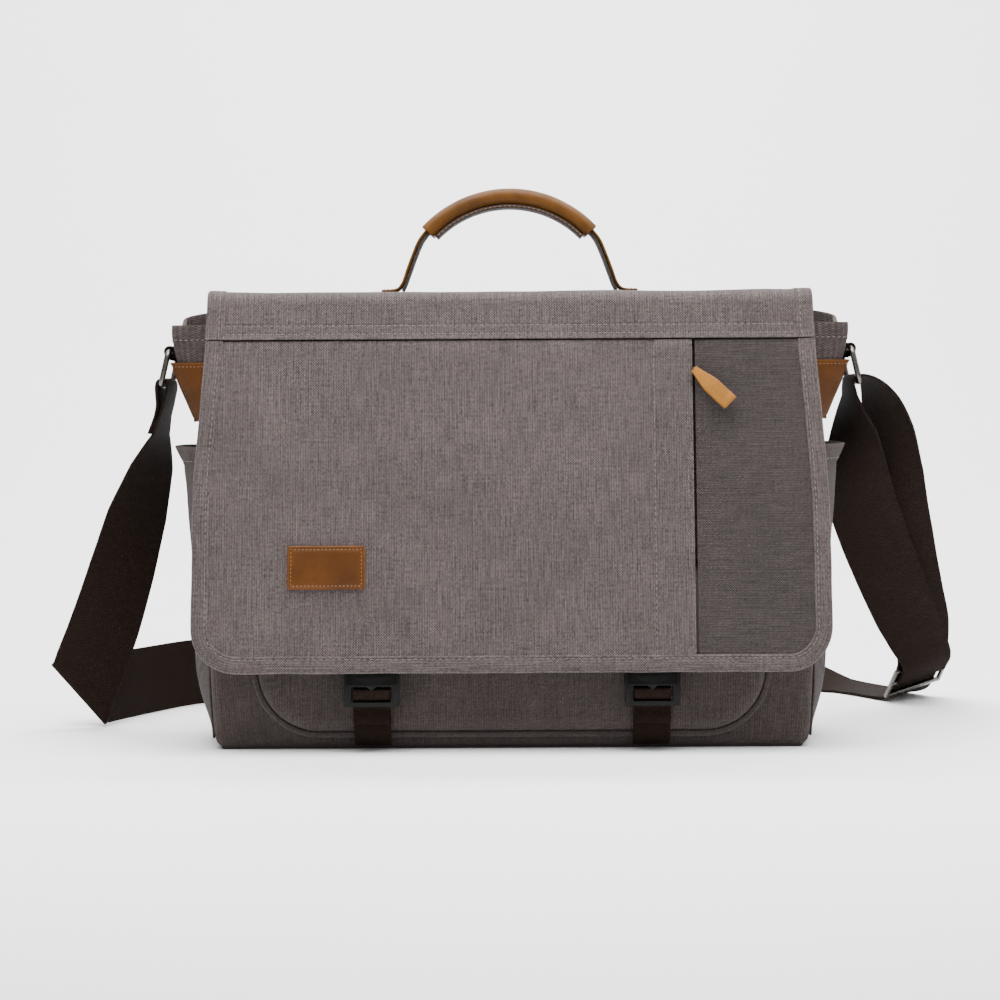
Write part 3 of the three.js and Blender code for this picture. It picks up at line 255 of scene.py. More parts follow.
def select_only(piece):
    bpy.ops.object.select_all(action="DESELECT")
    piece.select_set(True)
    bpy.context.view_layer.objects.active = piece


def edit(piece, operator, **settings):
    """Runs one edit-mode operator on the whole of a piece."""
    select_only(piece)
    bpy.ops.object.mode_set(mode="EDIT")
    bpy.ops.mesh.select_all(action="SELECT")
    operator(**settings)
    bpy.ops.object.mode_set(mode="OBJECT")


def apply(piece, kind, **settings):
    """Adds a modifier, sets it and applies it."""
    select_only(piece)
    modifier = piece.modifiers.new(kind.title(), kind)
    for key, value in settings.items():
        setattr(modifier, key, value)
    bpy.ops.object.modifier_apply(modifier=modifier.name)


def smooth(piece, angle=50):
    select_only(piece)
    bpy.ops.object.shade_smooth_by_angle(angle=math.radians(angle))

# %% Laying cloth
def cloth(name, us, vs, place, chart=None, wear_and_shade=None):
    """A grid whose point (u, v) lies at place(u, v). Its front is u across v.

    The chart gives each point's measure on the cloth, and wear_and_shade how rubbed it is, or, below 0, where shade is
    painted in."""
    columns, rows = len(us), len(vs)
    bpy.ops.object.select_all(action="DESELECT")
    bpy.ops.mesh.primitive_grid_add(
        x_subdivisions=columns - 1, y_subdivisions=rows - 1, size=1
    )
    piece = bpy.context.object
    piece.name = piece.data.name = name
    mesh = piece.data
    flat = np.zeros(columns * rows * 3)
    mesh.vertices.foreach_get("co", flat)
    flat = flat.reshape(-1, 3)
    column = np.rint((flat[:, 0] + 0.5) * (columns - 1)).astype(int)
    row = np.rint((flat[:, 1] + 0.5) * (rows - 1)).astype(int)
    spots_on_grid = [(us[i], vs[j]) for i, j in zip(column, row)]
    laid = [tuple(place(u, v)) for u, v in spots_on_grid]
    mesh.vertices.foreach_set("co", np.array(laid, float).ravel())
    if chart is None:
        measure = [(x, z) for x, y, z in laid]
    else:
        measure = [chart(u, v) for u, v in spots_on_grid]
    corner = np.zeros(len(mesh.loops), int)
    mesh.loops.foreach_get("vertex_index", corner)
    mesh.uv_layers[0].data.foreach_set("uv", np.array(measure, float)[corner].ravel())
    worn = mesh.attributes.new("wear_and_shade", "FLOAT", "POINT")
    if wear_and_shade is not None:
        worn.data.foreach_set("value", [wear_and_shade(u, v) for u, v in spots_on_grid])
    mesh.update()
    return piece


def thicken(piece, thickness, rim):
    """Gives cloth its thickness, inwards, and rounds its cut or folded rim."""
    apply(piece, "SOLIDIFY", thickness=thickness, offset=-1)
    apply(piece, "BEVEL", width=rim, segments=2, limit_method="ANGLE",
          angle_limit=math.radians(60))
    smooth(piece)


def close_seams(piece):
    """Merges points that lie together, where a loop meets itself."""
    edit(piece, bpy.ops.mesh.remove_doubles, threshold=1e-5)


def face_outwards(piece):
    edit(piece, bpy.ops.mesh.normals_make_consistent, inside=False)


def seal(piece, angle=50, ends=True):
    """Makes a tube of cloth one closed, smooth skin."""
    close_seams(piece)
    if ends:
        edit(piece, bpy.ops.mesh.fill_holes, sides=0)
    face_outwards(piece)
    smooth(piece, angle)

# %% Carrying a section along a line
def stations(points, acrosses, closed=False):
    """Each point with its two section axes: across the line, and out of it."""
    count = len(points)
    made = []
    for i, place in enumerate(points):
        before = points[i - 1] if i or closed else place
        after = points[(i + 1) % count] if i < count - 1 or closed else place
        along = (after - before).normalized()
        across = (acrosses - along * acrosses.dot(along)).normalized()
        made.append((place, across, along.cross(across).normalized()))
    return made


def band(name, line, section, closed=False):
    """A closed section carried along stations. Its UVs run round it and along it."""
    around = len(section)
    rows = len(line) + (1 if closed else 0)
    girth = [0.0]
    for k in range(around):
        a, b = section[k], section[(k + 1) % around]
        girth.append(girth[-1] + math.hypot(b[0] - a[0], b[1] - a[1]))
    length = [0.0]
    for i in range(1, rows):
        length.append(length[-1] + (line[i % len(line)][0] - line[i - 1][0]).length)

    def place(k, i):
        centre, across, out = line[i % len(line)]
        x, y = section[k % around]
        return centre + across * x + out * y

    piece = cloth(name, range(around + 1), range(rows), place,
                  chart=lambda k, i: (girth[k], length[i]))
    seal(piece, ends=not closed)
    return piece


def oval(width, height, sides, power=1.0):
    """A round section; a power below 1 squares its shoulders."""
    def bulge(value):
        return math.copysign(abs(value) ** power, value)
    turns = [2 * math.pi * (k + 0.5) / sides for k in range(sides)]
    return [(width / 2 * bulge(math.cos(t)), height / 2 * bulge(math.sin(t))) for t in turns]


def flat_section(width, thickness):
    """Webbing from the side: two flat faces and softly rounded selvedges."""
    x, y = width / 2, thickness / 2
    lip = thickness * 0.45
    upper = [(-x, 0), (-x + lip * 0.3, y * 0.75), (-x + lip, y)]
    upper += [(mix(-x + lip, x - lip, k / 6), y) for k in range(1, 6)]
    upper += [(x - lip, y), (x - lip * 0.3, y * 0.75)]
    return upper + [(-a, -b) for a, b in upper]


def curve_through(points, per_span=6):
    """A smooth line through points, spaced by the root of their distances."""
    points = [Vector(p) for p in points]
    ends = [points[0] * 2 - points[1]] + points + [points[-1] * 2 - points[-2]]
    line = []
    for i in range(1, len(ends) - 2):
        p0, p1, p2, p3 = ends[i - 1:i + 3]
        gaps = (p1 - p0, p2 - p1, p3 - p2)
        d0, d1, d2 = [max(gap.length ** 0.5, 1e-4) for gap in gaps]
        m1 = ((p1 - p0) / d0 - (p2 - p0) / (d0 + d1) + (p2 - p1) / d1) * d1
        m2 = ((p2 - p1) / d1 - (p3 - p1) / (d1 + d2) + (p3 - p2) / d2) * d1
        for k in range(per_span):
            t = k / per_span
            line.append(p1 * (2 * t**3 - 3 * t**2 + 1) + m1 * (t**3 - 2 * t**2 + t)
                        + p2 * (3 * t**2 - 2 * t**3) + m2 * (t**3 - t**2))
    return line + [points[-1]]


# %% [markdown]
# ## Copies of one small shape
# Stitches and zip teeth repeat hundreds of times. One is modelled with an operator, its
# points and faces are taken, and all the copies become one mesh. Separate objects would
# look the same, but would be slow to handle.

# %% Copying a shape
def take_shape(model):
    """The points and faces of a model, which is then removed."""
    points = np.array([v.co for v in model.data.vertices])
    faces = [tuple(p.vertices) for p in model.data.polygons]
    bpy.data.objects.remove(model)
    return points, faces


def piece_of_copies(name, copies, faces):
    """One piece made of copies of a shape, each given by its placed points."""
    polygons = []
    for n, placed in enumerate(copies):
        polygons += [tuple(n * len(placed) + v for v in face) for face in faces]
    mesh = bpy.data.meshes.new(name)
    mesh.from_pydata([tuple(p) for placed in copies for p in placed], [], polygons)
    piece = bpy.data.objects.new(name, mesh)
    bpy.context.collection.objects.link(piece)
    return piece

# %% [markdown]
# ## Stitches
# A seam reads as sewn because each stitch dips into the cloth at its ends. One stitch
# is modelled, a small ellipsoid bent down at both ends, and copied along every row.
# A texture of dashes would be lighter, but it would not catch the light or show at
# the edge of a hem.

# %% Sewing rows of stitches
THREAD = 0.00032
STITCH_DIP = 0.00055


def model_stitch(length):
    bpy.ops.object.select_all(action="DESELECT")
    bpy.ops.mesh.primitive_uv_sphere_add(segments=6, ring_count=6, radius=1)
    points, faces = take_shape(bpy.context.object)
    points = points[:, [2, 0, 1]] * (length / 2, THREAD, THREAD)
    points[:, 2] -= STITCH_DIP * (2 * points[:, 0] / length) ** 2
    return points, faces


def sew(name, rows, length=0.003, pitch=0.0042, lift=0.00025):
    """Stitches along rows, each a list of (place, outward direction)."""
    shape, faces = model_stitch(length)
    stitches = []
    for row in rows:
        places = [Vector(p) for p, _ in row]
        travelled = run_along(places)
        for s in np.arange(pitch / 2, travelled[-1], pitch):
            i = min(int(np.searchsorted(travelled, s)) - 1, len(places) - 2)
            share = (s - travelled[i]) / max(travelled[i + 1] - travelled[i], 1e-9)
            along = (places[i + 1] - places[i]).normalized()
            out = Vector(row[i][1])
            out = (out - along * out.dot(along)).normalized()
            side = out.cross(along)
            centre = places[i].lerp(places[i + 1], share) + out * lift
            stitches.append(shape @ np.array([along, side, out]) + np.array(centre))
    piece = piece_of_copies(name, stitches, faces)
    face_outwards(piece)
    smooth(piece)
    print(name, "has", len(stitches), "stitches")
    return piece

# %% [markdown]
# ## Finishes
# Washed canvas is a plain weave of uneven yarns: pale and dark slubs run up and across
# with short flecks between them, the whole cloth is a little patchy, and folds are rubbed
# paler. The colour comes from noises stretched along the yarns. A product of two sines
# is the weave: it gives the fine ribs their tone and their bumps. All of them read UVs
# in metres, so the yarns keep their size on every panel.

# %% A small kit for materials
def finish(name, **sockets):
    material = bpy.data.materials.new(name)
    material.use_nodes = True
    tree = material.node_tree
    shader = tree.nodes["Principled BSDF"]
    for socket, value in sockets.items():
        shader.inputs[socket.replace("_", " ")].default_value = value
    return material, tree, shader


def add(tree, kind, inputs=None, **settings):
    """A node with its inputs filled or linked, by name or number."""
    node = tree.nodes.new("ShaderNode" + kind)
    for key, value in settings.items():
        setattr(node, key, value)
    for key, value in (inputs or {}).items():
        socket = node.inputs[key]
        if isinstance(value, bpy.types.NodeSocket):
            tree.links.new(value, socket)
        else:
            socket.default_value = value
    return node


def maths(tree, operation, a, b=0.0, c=0.0):
    return add(tree, "Math", {0: a, 1: b, 2: c}, operation=operation).outputs[0]


def spots(tree, vector, scale, detail=2.0):
    """Noise stretched by a scale along each axis, from 0 to 1."""
    moved = add(tree, "Mapping", {"Vector": vector, "Scale": scale}).outputs[0]
    return add(tree, "TexNoise", {"Vector": moved, "Scale": 1.0, "Detail": detail}).outputs[0]


def between(tree, value, low, high, start=0.3, end=0.7):
    return add(tree, "MapRange", {0: value, 1: start, 2: end, 3: low, 4: high}).outputs[0]


def shaded(tree, shader, colour, shade):
    """The colour made lighter and darker by a pattern."""
    tint = add(tree, "VectorMath", {0: colour, "Scale": shade}, operation="SCALE").outputs[0]
    tree.links.new(tint, shader.inputs["Base Color"])


def bumped(tree, shader, height, distance, strength=0.6):
    bump = add(tree, "Bump", {"Height": height, "Distance": distance, "Strength": strength})
    tree.links.new(bump.outputs[0], shader.inputs["Normal"])


# %% Canvas and lining
def multiplied(tree, first, *others):
    for other in others:
        first = maths(tree, "MULTIPLY", first, other)
    return first


def paler_by_wear_and_shade(tree, most):
    """1 on whole cloth or leather, up to the given most where it is rubbed, and lower where the wear_and_shade
    attribute holds painted shade.
    """
    rubbed = add(tree, "Attribute", attribute_name="wear_and_shade").outputs["Fac"]
    return between(tree, rubbed, 1.0, most, 0.0, 1.0)


def woven(name, colour, contrast, pitch, turned=False, bump=0.00025, sheen=0.06):
    """Canvas with yarns a pitch apart; turned lays its stronger yarns across."""
    material, tree, shader = finish(name, Roughness=0.9, Sheen_Weight=sheen,
                                    Sheen_Roughness=0.45, Specular_IOR_Level=0.25)
    source = add(tree, "TexCoord")
    uv, place = source.outputs["UV"], source.outputs["Object"]
    fine, long, speck = 0.6 / pitch, 0.045 / pitch, 0.45 / pitch
    warp = spots(tree, uv, (long, fine, 1) if turned else (fine, long, 1), 1.0)
    weft = spots(tree, uv, (fine, long, 1) if turned else (long, fine, 1), 1.0)
    flecks = spots(tree, uv, (speck, fine, 1) if turned else (fine, speck, 1), 0.0)
    runs = maths(tree, "MULTIPLY_ADD", warp, 0.4, maths(tree, "MULTIPLY", weft, 0.22))
    yarn = maths(tree, "MULTIPLY_ADD", flecks, 0.38, runs)
    slub = between(tree, yarn, 1 - contrast * 0.8, 1 + contrast * 0.8)
    patchy = between(tree, spots(tree, place, (26, 26, 26), 4), 0.9, 1.1)
    axes = add(tree, "SeparateXYZ", {0: uv}).outputs
    wave = [maths(tree, "SINE", maths(tree, "MULTIPLY", axis, math.pi / pitch))
            for axis in axes[:2]]
    crossings = maths(tree, "MULTIPLY", wave[0], wave[1])
    ribs = maths(tree, "MULTIPLY_ADD", wave[1 if turned else 0], 0.26,
                 maths(tree, "MULTIPLY", crossings, 0.74))
    rib_tone = between(tree, ribs, 1 - contrast, 1 + contrast, -1.0, 1.0)
    shaded(tree, shader, colour,
           multiplied(tree, slub, patchy, paler_by_wear_and_shade(tree, 1.5), rib_tone))
    bumped(tree, shader, maths(tree, "MULTIPLY_ADD", yarn, 2.2, crossings), bump)
    return material


YARN = 0.00085
canvas = woven("washed_canvas", (0.058, 0.0462, 0.0444), 0.7, YARN)
canvas_turned = woven("washed_canvas_turned", (0.031, 0.0242, 0.0232), 0.6, YARN, turned=True)
# Painted shade: a darker copy of the canvas for the walls, pockets and piping low on the bag, which the top light
# leaves darker.
canvas_painted_shade = woven("washed_canvas_painted_shade", (0.037, 0.0280, 0.0262), 0.6, YARN)
dark_canvas = woven("dark_canvas", (0.034, 0.0265, 0.0248), 0.4, 0.0008)
lining_cloth = woven("lining_cloth", (0.04, 0.034, 0.033), 0.12, 0.0004,
                     bump=0.0001, sheen=0.1)
thread = finish("pale_thread", Base_Color=(0.115, 0.097, 0.092, 1), Roughness=0.8,
                Sheen_Weight=0.2)[0]
tan_thread = finish("tan_thread", Base_Color=(0.2, 0.082, 0.018, 1), Roughness=0.6)[0]
print("cloth finishes:", canvas.name, canvas_turned.name, dark_canvas.name, thread.name)

# %% [markdown]
# Waxed leather is lighter where it is pulled and darker where it is handled. Large soft
# noise moves the tan towards brown, fine cells give the grain its bumps, and cut edges
# are burnished dark or bleached. Thread and webbing are plainer and need only ribs.

# %% Leather, webbing, metal and plastic
def hide(name, colour, contrast=0.3, edge=1.4, roughness=0.5):
    material, tree, shader = finish(name, Specular_IOR_Level=0.16)
    place = add(tree, "TexCoord").outputs["Object"]
    broad = between(tree, spots(tree, place, (38, 38, 38), 5), 1 - contrast, 1 + contrast)
    flecks = between(tree, spots(tree, place, (420, 420, 420), 3), 0.9, 1.1)
    shaded(tree, shader, colour, multiplied(tree, broad, flecks, paler_by_wear_and_shade(tree, edge)))
    grain = add(tree, "TexVoronoi", {"Vector": place, "Scale": 900.0},
                feature="DISTANCE_TO_EDGE").outputs["Distance"]
    bumped(tree, shader, maths(tree, "MULTIPLY_ADD", broad, 0.4, grain), 0.0002, 0.35)
    shine = between(tree, spots(tree, place, (90, 90, 90), 3),
                    roughness - 0.07, roughness + 0.12)
    tree.links.new(shine, shader.inputs["Roughness"])
    return material


def ribbed(name, colour, rib, across=0.0016, bump=0.0003):
    """Webbing: ribs across it, broken into short floats along it."""
    material, tree, shader = finish(name, Roughness=0.85, Specular_IOR_Level=0.06)
    uv = add(tree, "TexCoord").outputs["UV"]
    axes = add(tree, "SeparateXYZ", {0: uv}).outputs
    rise = maths(tree, "SINE", maths(tree, "MULTIPLY", axes[1], 2 * math.pi / rib))
    row = maths(tree, "SINE", maths(tree, "MULTIPLY", axes[0], math.pi / across))
    float_height = maths(tree, "MULTIPLY", rise, row)
    fuzz = between(tree, spots(tree, uv, (900, 260, 1), 3), 0.7, 1.35)
    shaded(tree, shader, colour, maths(tree, "MULTIPLY_ADD", float_height, 0.22, fuzz))
    bumped(tree, shader, float_height, bump)
    return material


def hard(name, colour, metallic, specular, roughness, grain):
    """Plated metal or moulded plastic, with a slightly uneven gloss."""
    material, tree, shader = finish(name, Metallic=metallic, Specular_IOR_Level=specular)
    place = add(tree, "TexCoord").outputs["Object"]
    uneven = spots(tree, place, (grain, grain, grain), 4)
    tree.links.new(between(tree, uneven, roughness - 0.06, roughness + 0.1),
                   shader.inputs["Roughness"])
    shade = between(tree, spots(tree, place, (60, 60, 60), 3), 0.88, 1.12)
    shaded(tree, shader, colour, shade)
    bumped(tree, shader, uneven, 0.00004, 0.4)
    return material


leather = hide("waxed_leather", (0.072, 0.026, 0.0014))
dark_leather = hide("brown_leather", (0.052, 0.0165, 0.0012), contrast=0.28, edge=1.8)
pull_leather = hide("light_leather", (0.25, 0.102, 0.016), edge=1.2, roughness=0.4)
webbing = ribbed("strap_webbing", (0.010, 0.0056, 0.0040), 0.0019)
zip_tape = ribbed("zip_tape", (0.02, 0.016, 0.014), 0.0011, 0.0008, 0.00012)
gunmetal = hard("gunmetal", (0.12, 0.112, 0.104), 1.0, 0.5, 0.26, 260.0)
buckle_plastic = hard("buckle_plastic", (0.0045, 0.0047, 0.0043), 0.0, 0.12, 0.5, 900.0)
print("hard and leather finishes:", leather.name, dark_leather.name, gunmetal.name)

# %% [markdown]
# ## Joining a piece to the model
# A finished piece takes the place of the plain measured parts that it stands for. It
# rides on one body. Cloth that crosses a hinge bends between two bodies instead, from a
# start place to an end place, because a piece that rode on one of them would tear away
# from the other when the hinge turns.

# %% Handing a piece over
def hand_over(piece, its_finish, slot, carrier, *nodes):
    """Gives a piece its finish, the parts it stands for, and what carries it."""
    piece.data.materials.clear()
    piece.data.materials.append(its_finish)
    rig.slot(piece, slot)
    if nodes:
        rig.replaces(piece, *nodes)
    if isinstance(carrier, str):
        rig.ride(piece, carrier)
    else:
        one, other, start, end = carrier
        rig.blend(piece, one, other, start=start, end=end)
    print(piece.name, "is ready with", len(piece.data.polygons), "faces")

# %% [markdown]
# ## Shoulder strap
# The strap is wide webbing in two lengths. One is sewn round the left ring, falls down
# that side, folds over at the ground and runs behind the bag to the adjuster. The other
# goes from the adjuster up to the right ring, through it and back. Each is a band on a
# smooth line, with the direction across the strap given at every point of its route.

# %% Strap routes
# Each row is a place, the direction across the strap there, and its width against 50 mm.
STRAP_ROUTE = [
    (-0.2488, 0.0082, 0.214, 0.08, 1, 0, 1),
    (-0.2455, 0.006, 0.226, 0.02, 1, 0, 1),
    (-0.2444, 0.0052, 0.234, 0, 1, 0, 1),
    (-0.2448, 0.005, 0.241, 0, 1, 0, 1),
    (-0.2449, 0.005, 0.2472, 0, 1, 0, 1),
    (-0.2439, 0.005, 0.2504, 0, 1, 0, 1),
    (-0.2412, 0.005, 0.2516, 0, 1, 0, 1),
    (-0.2385, 0.005, 0.2504, 0, 1, 0, 1),
    (-0.2375, 0.005, 0.2468, 0, 1, 0, 1),
    (-0.239, 0.0052, 0.238, 0, 1, 0, 1),
    (-0.2424, 0.0062, 0.226, 0.02, 1, 0, 1),
    (-0.246, 0.009, 0.213, 0.09, 1, 0, 1),
    (-0.2535, 0.018, 0.19, 0.5, 1, -0.1, 1),
    (-0.266, 0.031, 0.155, 1, 0.95, -0.28, 1),
    (-0.279, 0.043, 0.115, 1, 0.6, -0.35, 1),
    (-0.293, 0.053, 0.075, 1, 0.2, -0.34, 1),
    (-0.306, 0.058, 0.042, 0.86, 0, -0.5, 1.04),
    (-0.3124, 0.0587, 0.0248, 0.663, 0, -0.748, 1.17),
    (-0.3136, 0.0602, 0.0238, 0.663, 0, -0.748, 1.17),
    (-0.3122, 0.0618, 0.0248, 0.663, 0, -0.748, 1.17),
    (-0.303, 0.068, 0.026, 0.4, 0.05, -0.92, 1.06),
    (-0.29, 0.088, 0.026, 0.12, 0.05, -1, 1),
    (-0.271, 0.128, 0.0256, 0.02, 0, -1, 1),
    (-0.244, 0.172, 0.0256, 0, 0, -1, 1),
    (-0.2, 0.208, 0.0256, 0, 0, -1, 1),
    (-0.13, 0.228, 0.0256, 0, 0, -1, 1),
    (-0.04, 0.236, 0.0256, 0, 0, -1, 1),
    (0.06, 0.238, 0.0256, 0, 0, -1, 1),
    (0.14, 0.241, 0.0254, 0, -0.12, -1, 1),
    (0.196, 0.248, 0.0215, 0, -0.7, -1, 1),
    (0.234, 0.253, 0.0128, -0.05, -1, -0.5, 1),
    (0.266, 0.244, 0.0032, -0.45, -1, -0.07, 1),
    (0.286, 0.223, 0.0018, -0.79, -0.7, 0, 1),
    (0.3, 0.2, 0.0026, -0.84, -0.5, -0.03, 1),
    (0.3062, 0.1895, 0.0049, -0.82, -0.54, -0.1, 1),
    (0.3085, 0.1845, 0.0076, -0.817, -0.551, -0.165, 1),
]
LOOP_ROUTE = [
    (0.3087, 0.184, 0.0083, 0.817, 0.551, 0.165, 1),
    (0.3125, 0.1743, 0.0217, 0.817, 0.551, 0.165, 1),
    (0.3163, 0.1646, 0.0351, 0.817, 0.53, 0.17, 1),
    (0.3135, 0.153, 0.057, 0.84, 0.3, 0.3, 1),
    (0.303, 0.134, 0.088, 0.85, 0.1, 0.32, 1),
    (0.29, 0.104, 0.13, 0.85, -0.15, 0.3, 1),
    (0.277, 0.062, 0.176, 0.8, -0.45, 0.25, 1),
    (0.269, 0.032, 0.212, 0.6, -0.78, 0.15, 1),
    (0.261, 0.015, 0.236, 0.35, -0.93, 0.05, 1),
    (0.253, 0.0075, 0.2485, 0.12, -1, 0, 1),
    (0.2464, 0.0052, 0.252, 0, -1, 0, 1),
    (0.2414, 0.005, 0.2518, 0, -1, 0, 1),
    (0.2383, 0.005, 0.2502, 0, -1, 0, 1),
    (0.2375, 0.005, 0.2466, 0, -1, 0, 1),
    (0.2384, 0.0052, 0.238, 0.05, -1, 0, 1),
    (0.239, 0.008, 0.226, 0.25, -1, 0.05, 1),
    (0.2415, 0.016, 0.208, 0.6, -0.85, 0.2, 1),
    (0.246, 0.033, 0.185, 0.85, -0.55, 0.33, 1),
    (0.2545, 0.057, 0.16, 0.9, -0.25, 0.38, 1),
    (0.2675, 0.083, 0.132, 0.9, -0.02, 0.42, 1),
    (0.283, 0.108, 0.101, 0.9, 0.12, 0.42, 1),
    (0.298, 0.13, 0.072, 0.88, 0.25, 0.38, 1),
    (0.31, 0.147, 0.05, 0.84, 0.42, 0.27, 1),
    (0.3193, 0.161, 0.0317, 0.817, 0.551, 0.165, 1),
    (0.31595, 0.1696, 0.0199, 0.817, 0.551, 0.165, 1),
]
print("the routes have", len(STRAP_ROUTE), "and", len(LOOP_ROUTE), "points")

# %% Strap in two lengths
STRAP_WIDTH = 0.05
STRAP_THICKNESS = 0.0018


def strap_length(name, route, per_span=6):
    """A band whose section is two wide, stretched at each place to the strap's width."""
    centres = curve_through([row[:3] for row in route], per_span)
    line = []
    for i, place in enumerate(centres):
        row, share = divmod(i, per_span)
        here, there = [route[min(n, len(route) - 1)] for n in (row, row + 1)]
        across = [Vector(r[3:6]).normalized() * r[6] * STRAP_WIDTH / 2 for r in (here, there)]
        wide = across[0].lerp(across[1], share / per_span)
        ahead = centres[min(i + 1, len(centres) - 1)] - centres[max(i - 1, 0)]
        line.append((place, wide, ahead.normalized().cross(wide).normalized()))
    piece = band(name, line, flat_section(2.0, STRAP_THICKNESS))
    for corner in piece.data.uv_layers[0].data:
        corner.uv[0] *= STRAP_WIDTH / 2
    measured = sum((b - a).length for a, b in zip(centres, centres[1:]))
    print(name, "is", round(measured, 3), "m long")
    return piece, centres, measured


strap, strap_line, strap_measure = strap_length("shoulder_strap_webbing", STRAP_ROUTE)
loop, loop_line, loop_measure = strap_length("shoulder_loop_webbing", LOOP_ROUTE)

# %% [markdown]
# The adjuster is a flat frame with a middle bar, stamped and plated. It starts as a cube
# pressed flat, two slots are cut through it, and a bevel rounds every edge.

# %% Cutting and rounding hard parts
def block(name, x0, x1, y0, y1, z0, z1):
    """A cube stretched between two corners, as the start of a hard part."""
    bpy.ops.object.select_all(action="DESELECT")
    bpy.ops.mesh.primitive_cube_add(size=1)
    piece = bpy.context.object
    piece.name = piece.data.name = name
    piece.data.transform(Matrix.Translation(((x0 + x1) / 2, (y0 + y1) / 2, (z0 + z1) / 2))
                         @ Matrix.Diagonal((x1 - x0, y1 - y0, z1 - z0, 1)))
    return piece


def cut(piece, *tools, operation="DIFFERENCE"):
    for tool in tools:
        apply(piece, "BOOLEAN", object=tool, operation=operation, solver="EXACT")
        bpy.data.objects.remove(tool)


def soften(piece, width, segments=2):
    """Rounds the edges of a hard part, as a mould or a tumbler leaves them."""
    apply(piece, "BEVEL", width=width, segments=segments, limit_method="ANGLE",
          angle_limit=math.radians(30))
    smooth(piece, 40)


# %% Adjuster
ADJUSTER_AT = Vector((0.314, 0.1725, 0.02))
ADJUSTER_HALF = 0.0292
SLOT_HALF = 0.026
adjuster = block("strap_adjuster_frame", -ADJUSTER_HALF, ADJUSTER_HALF,
                 -0.014, 0.014, -0.0015, 0.0015)
cut(adjuster, block("slot", -SLOT_HALF, SLOT_HALF, 0.0016, 0.0108, -1, 1),
    block("slot", -SLOT_HALF, SLOT_HALF, -0.0108, -0.0016, -1, 1))
soften(adjuster, 0.0009, 3)
up_strap = Vector((0.225, -0.57, 0.79)).normalized()
outward = Vector((0.817, 0.551, 0.165)).cross(up_strap).normalized()
turn = Matrix((up_strap.cross(outward), up_strap, outward)).transposed().to_4x4()
adjuster.data.transform(Matrix.Translation(ADJUSTER_AT) @ turn)
hand_over(adjuster, gunmetal, "dark_metal", "bag", "strap_adjuster")

# %% [markdown]
# Each end of the strap turns with its ring, so from 165 mm up to 240 mm above the ground
# it bends between the bag and the ring. Both lengths are declared as flat cords, with
# the line that they follow.

# %% Strap ends bend with the rings
STRAP_BEND = ((0, 0, 0.165), (0, 0, 0.240))
hand_over(strap, webbing, "webbing", ("bag", "ring_left", *STRAP_BEND), "shoulder_strap")
hand_over(loop, webbing, "webbing", ("bag", "ring_right", *STRAP_BEND),
          "shoulder_strap_loop")
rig.cord(strap, exit=strap_line[0], length=strap_measure, diameter=STRAP_WIDTH,
        far_end="fitting", stiffness="medium", lay="loose", path=strap_line,
        with_pieces=[adjuster])
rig.cord(loop, exit=loop_line[0], length=loop_measure, diameter=STRAP_WIDTH,
        far_end="object", stiffness="medium", lay="loose", path=loop_line)

# %% [markdown]
# ## Floor and light
# The bag stands on a white sweep that curves up behind it, so there is no horizon.
# Large soft lamps above, in front and at the right leave only a soft shadow under it, and
# one more lights the sweep behind.

# %% Floor and lamps
SWEEP_FLAT = 4.6
SWEEP_BEND = 1.2


def sweep_place(u, v):
    """Flat for the first metres, then a quarter turn, then straight up."""
    reach = v * 6.0
    if reach < SWEEP_FLAT:
        return (u * 6, reach - 3, 0)
    past = reach - SWEEP_FLAT
    turned = min(past / SWEEP_BEND, math.pi / 2)
    rise = max(0.0, past - SWEEP_BEND * math.pi / 2) * 6
    return (u * 6, SWEEP_FLAT - 3 + SWEEP_BEND * math.sin(turned),
            SWEEP_BEND - SWEEP_BEND * math.cos(turned) + rise)


floor = cloth("studio_sweep", spread(-1, 1, 8), spread(0, 1.2, 72), sweep_place)
smooth(floor, 80)
paper, tree, shader = finish("white_paper", Roughness=0.85, Specular_IOR_Level=0.1)
fibres = spots(tree, add(tree, "TexCoord").outputs["Object"], (3, 3, 3), 2)
shaded(tree, shader, (0.93, 0.93, 0.93), between(tree, fibres, 0.99, 1.01))
floor.data.materials.append(paper)
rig.stage(floor)

world = bpy.data.worlds.new("studio_air")
bpy.context.scene.world = world
world.use_nodes = True
air = world.node_tree.nodes["Background"].inputs
air["Color"].default_value = (1, 1, 1, 1)
air["Strength"].default_value = 0.53


def lamp(name, place, target, size, power):
    bpy.ops.object.light_add(type="AREA", location=place)
    made = bpy.context.object
    made.name = name
    made.data.shape = "RECTANGLE"
    made.data.size, made.data.size_y = size
    made.data.energy = power
    aim = Vector(target) - Vector(place)
    made.rotation_euler = aim.to_track_quat("-Z", "Y").to_euler()


lamp("top_lamp", (0.0, -0.3, 1.02), (0, 0, 0.1), (1.2, 0.7), 35)
lamp("front_lamp", (-0.9, -2.0, 1.1), (0, 0, 0.15), (1.2, 1.2), 3)
lamp("right_lamp", (1.7, -0.5, 0.9), (0, 0, 0.15), (0.9, 1.4), 6)
lamp("sweep_lamp", (0, 0.9, 2.4), (0, 2.6, 0.7), (3.5, 0.8), 230)
print("lamps:", [o.name for o in bpy.data.objects if o.type == "LIGHT"])

# %% [markdown]
# ## The bag's own surface
# Every panel, pocket and stitch of the body lies on one surface, so its form is written
# once. The front and back lean in slightly and swell in the middle, the sides stand out
# a little at half height, and near the top each side folds out into a point. Long soft
# waves are added to it, as canvas over thin foam has.

# %% Form of the body
HEIGHT = 0.289
BACK_RISE = 0.011
CORNER = 0.0045
FRONT_DEPTHS = (0.052, 0.040)
BACK_DEPTHS = (0.060, 0.050)
SIDE_IN = 0.0034


def half_width(z):
    t = z / HEIGHT
    return mix(0.201, 0.200, t) + 0.024 * t * (1 - t)


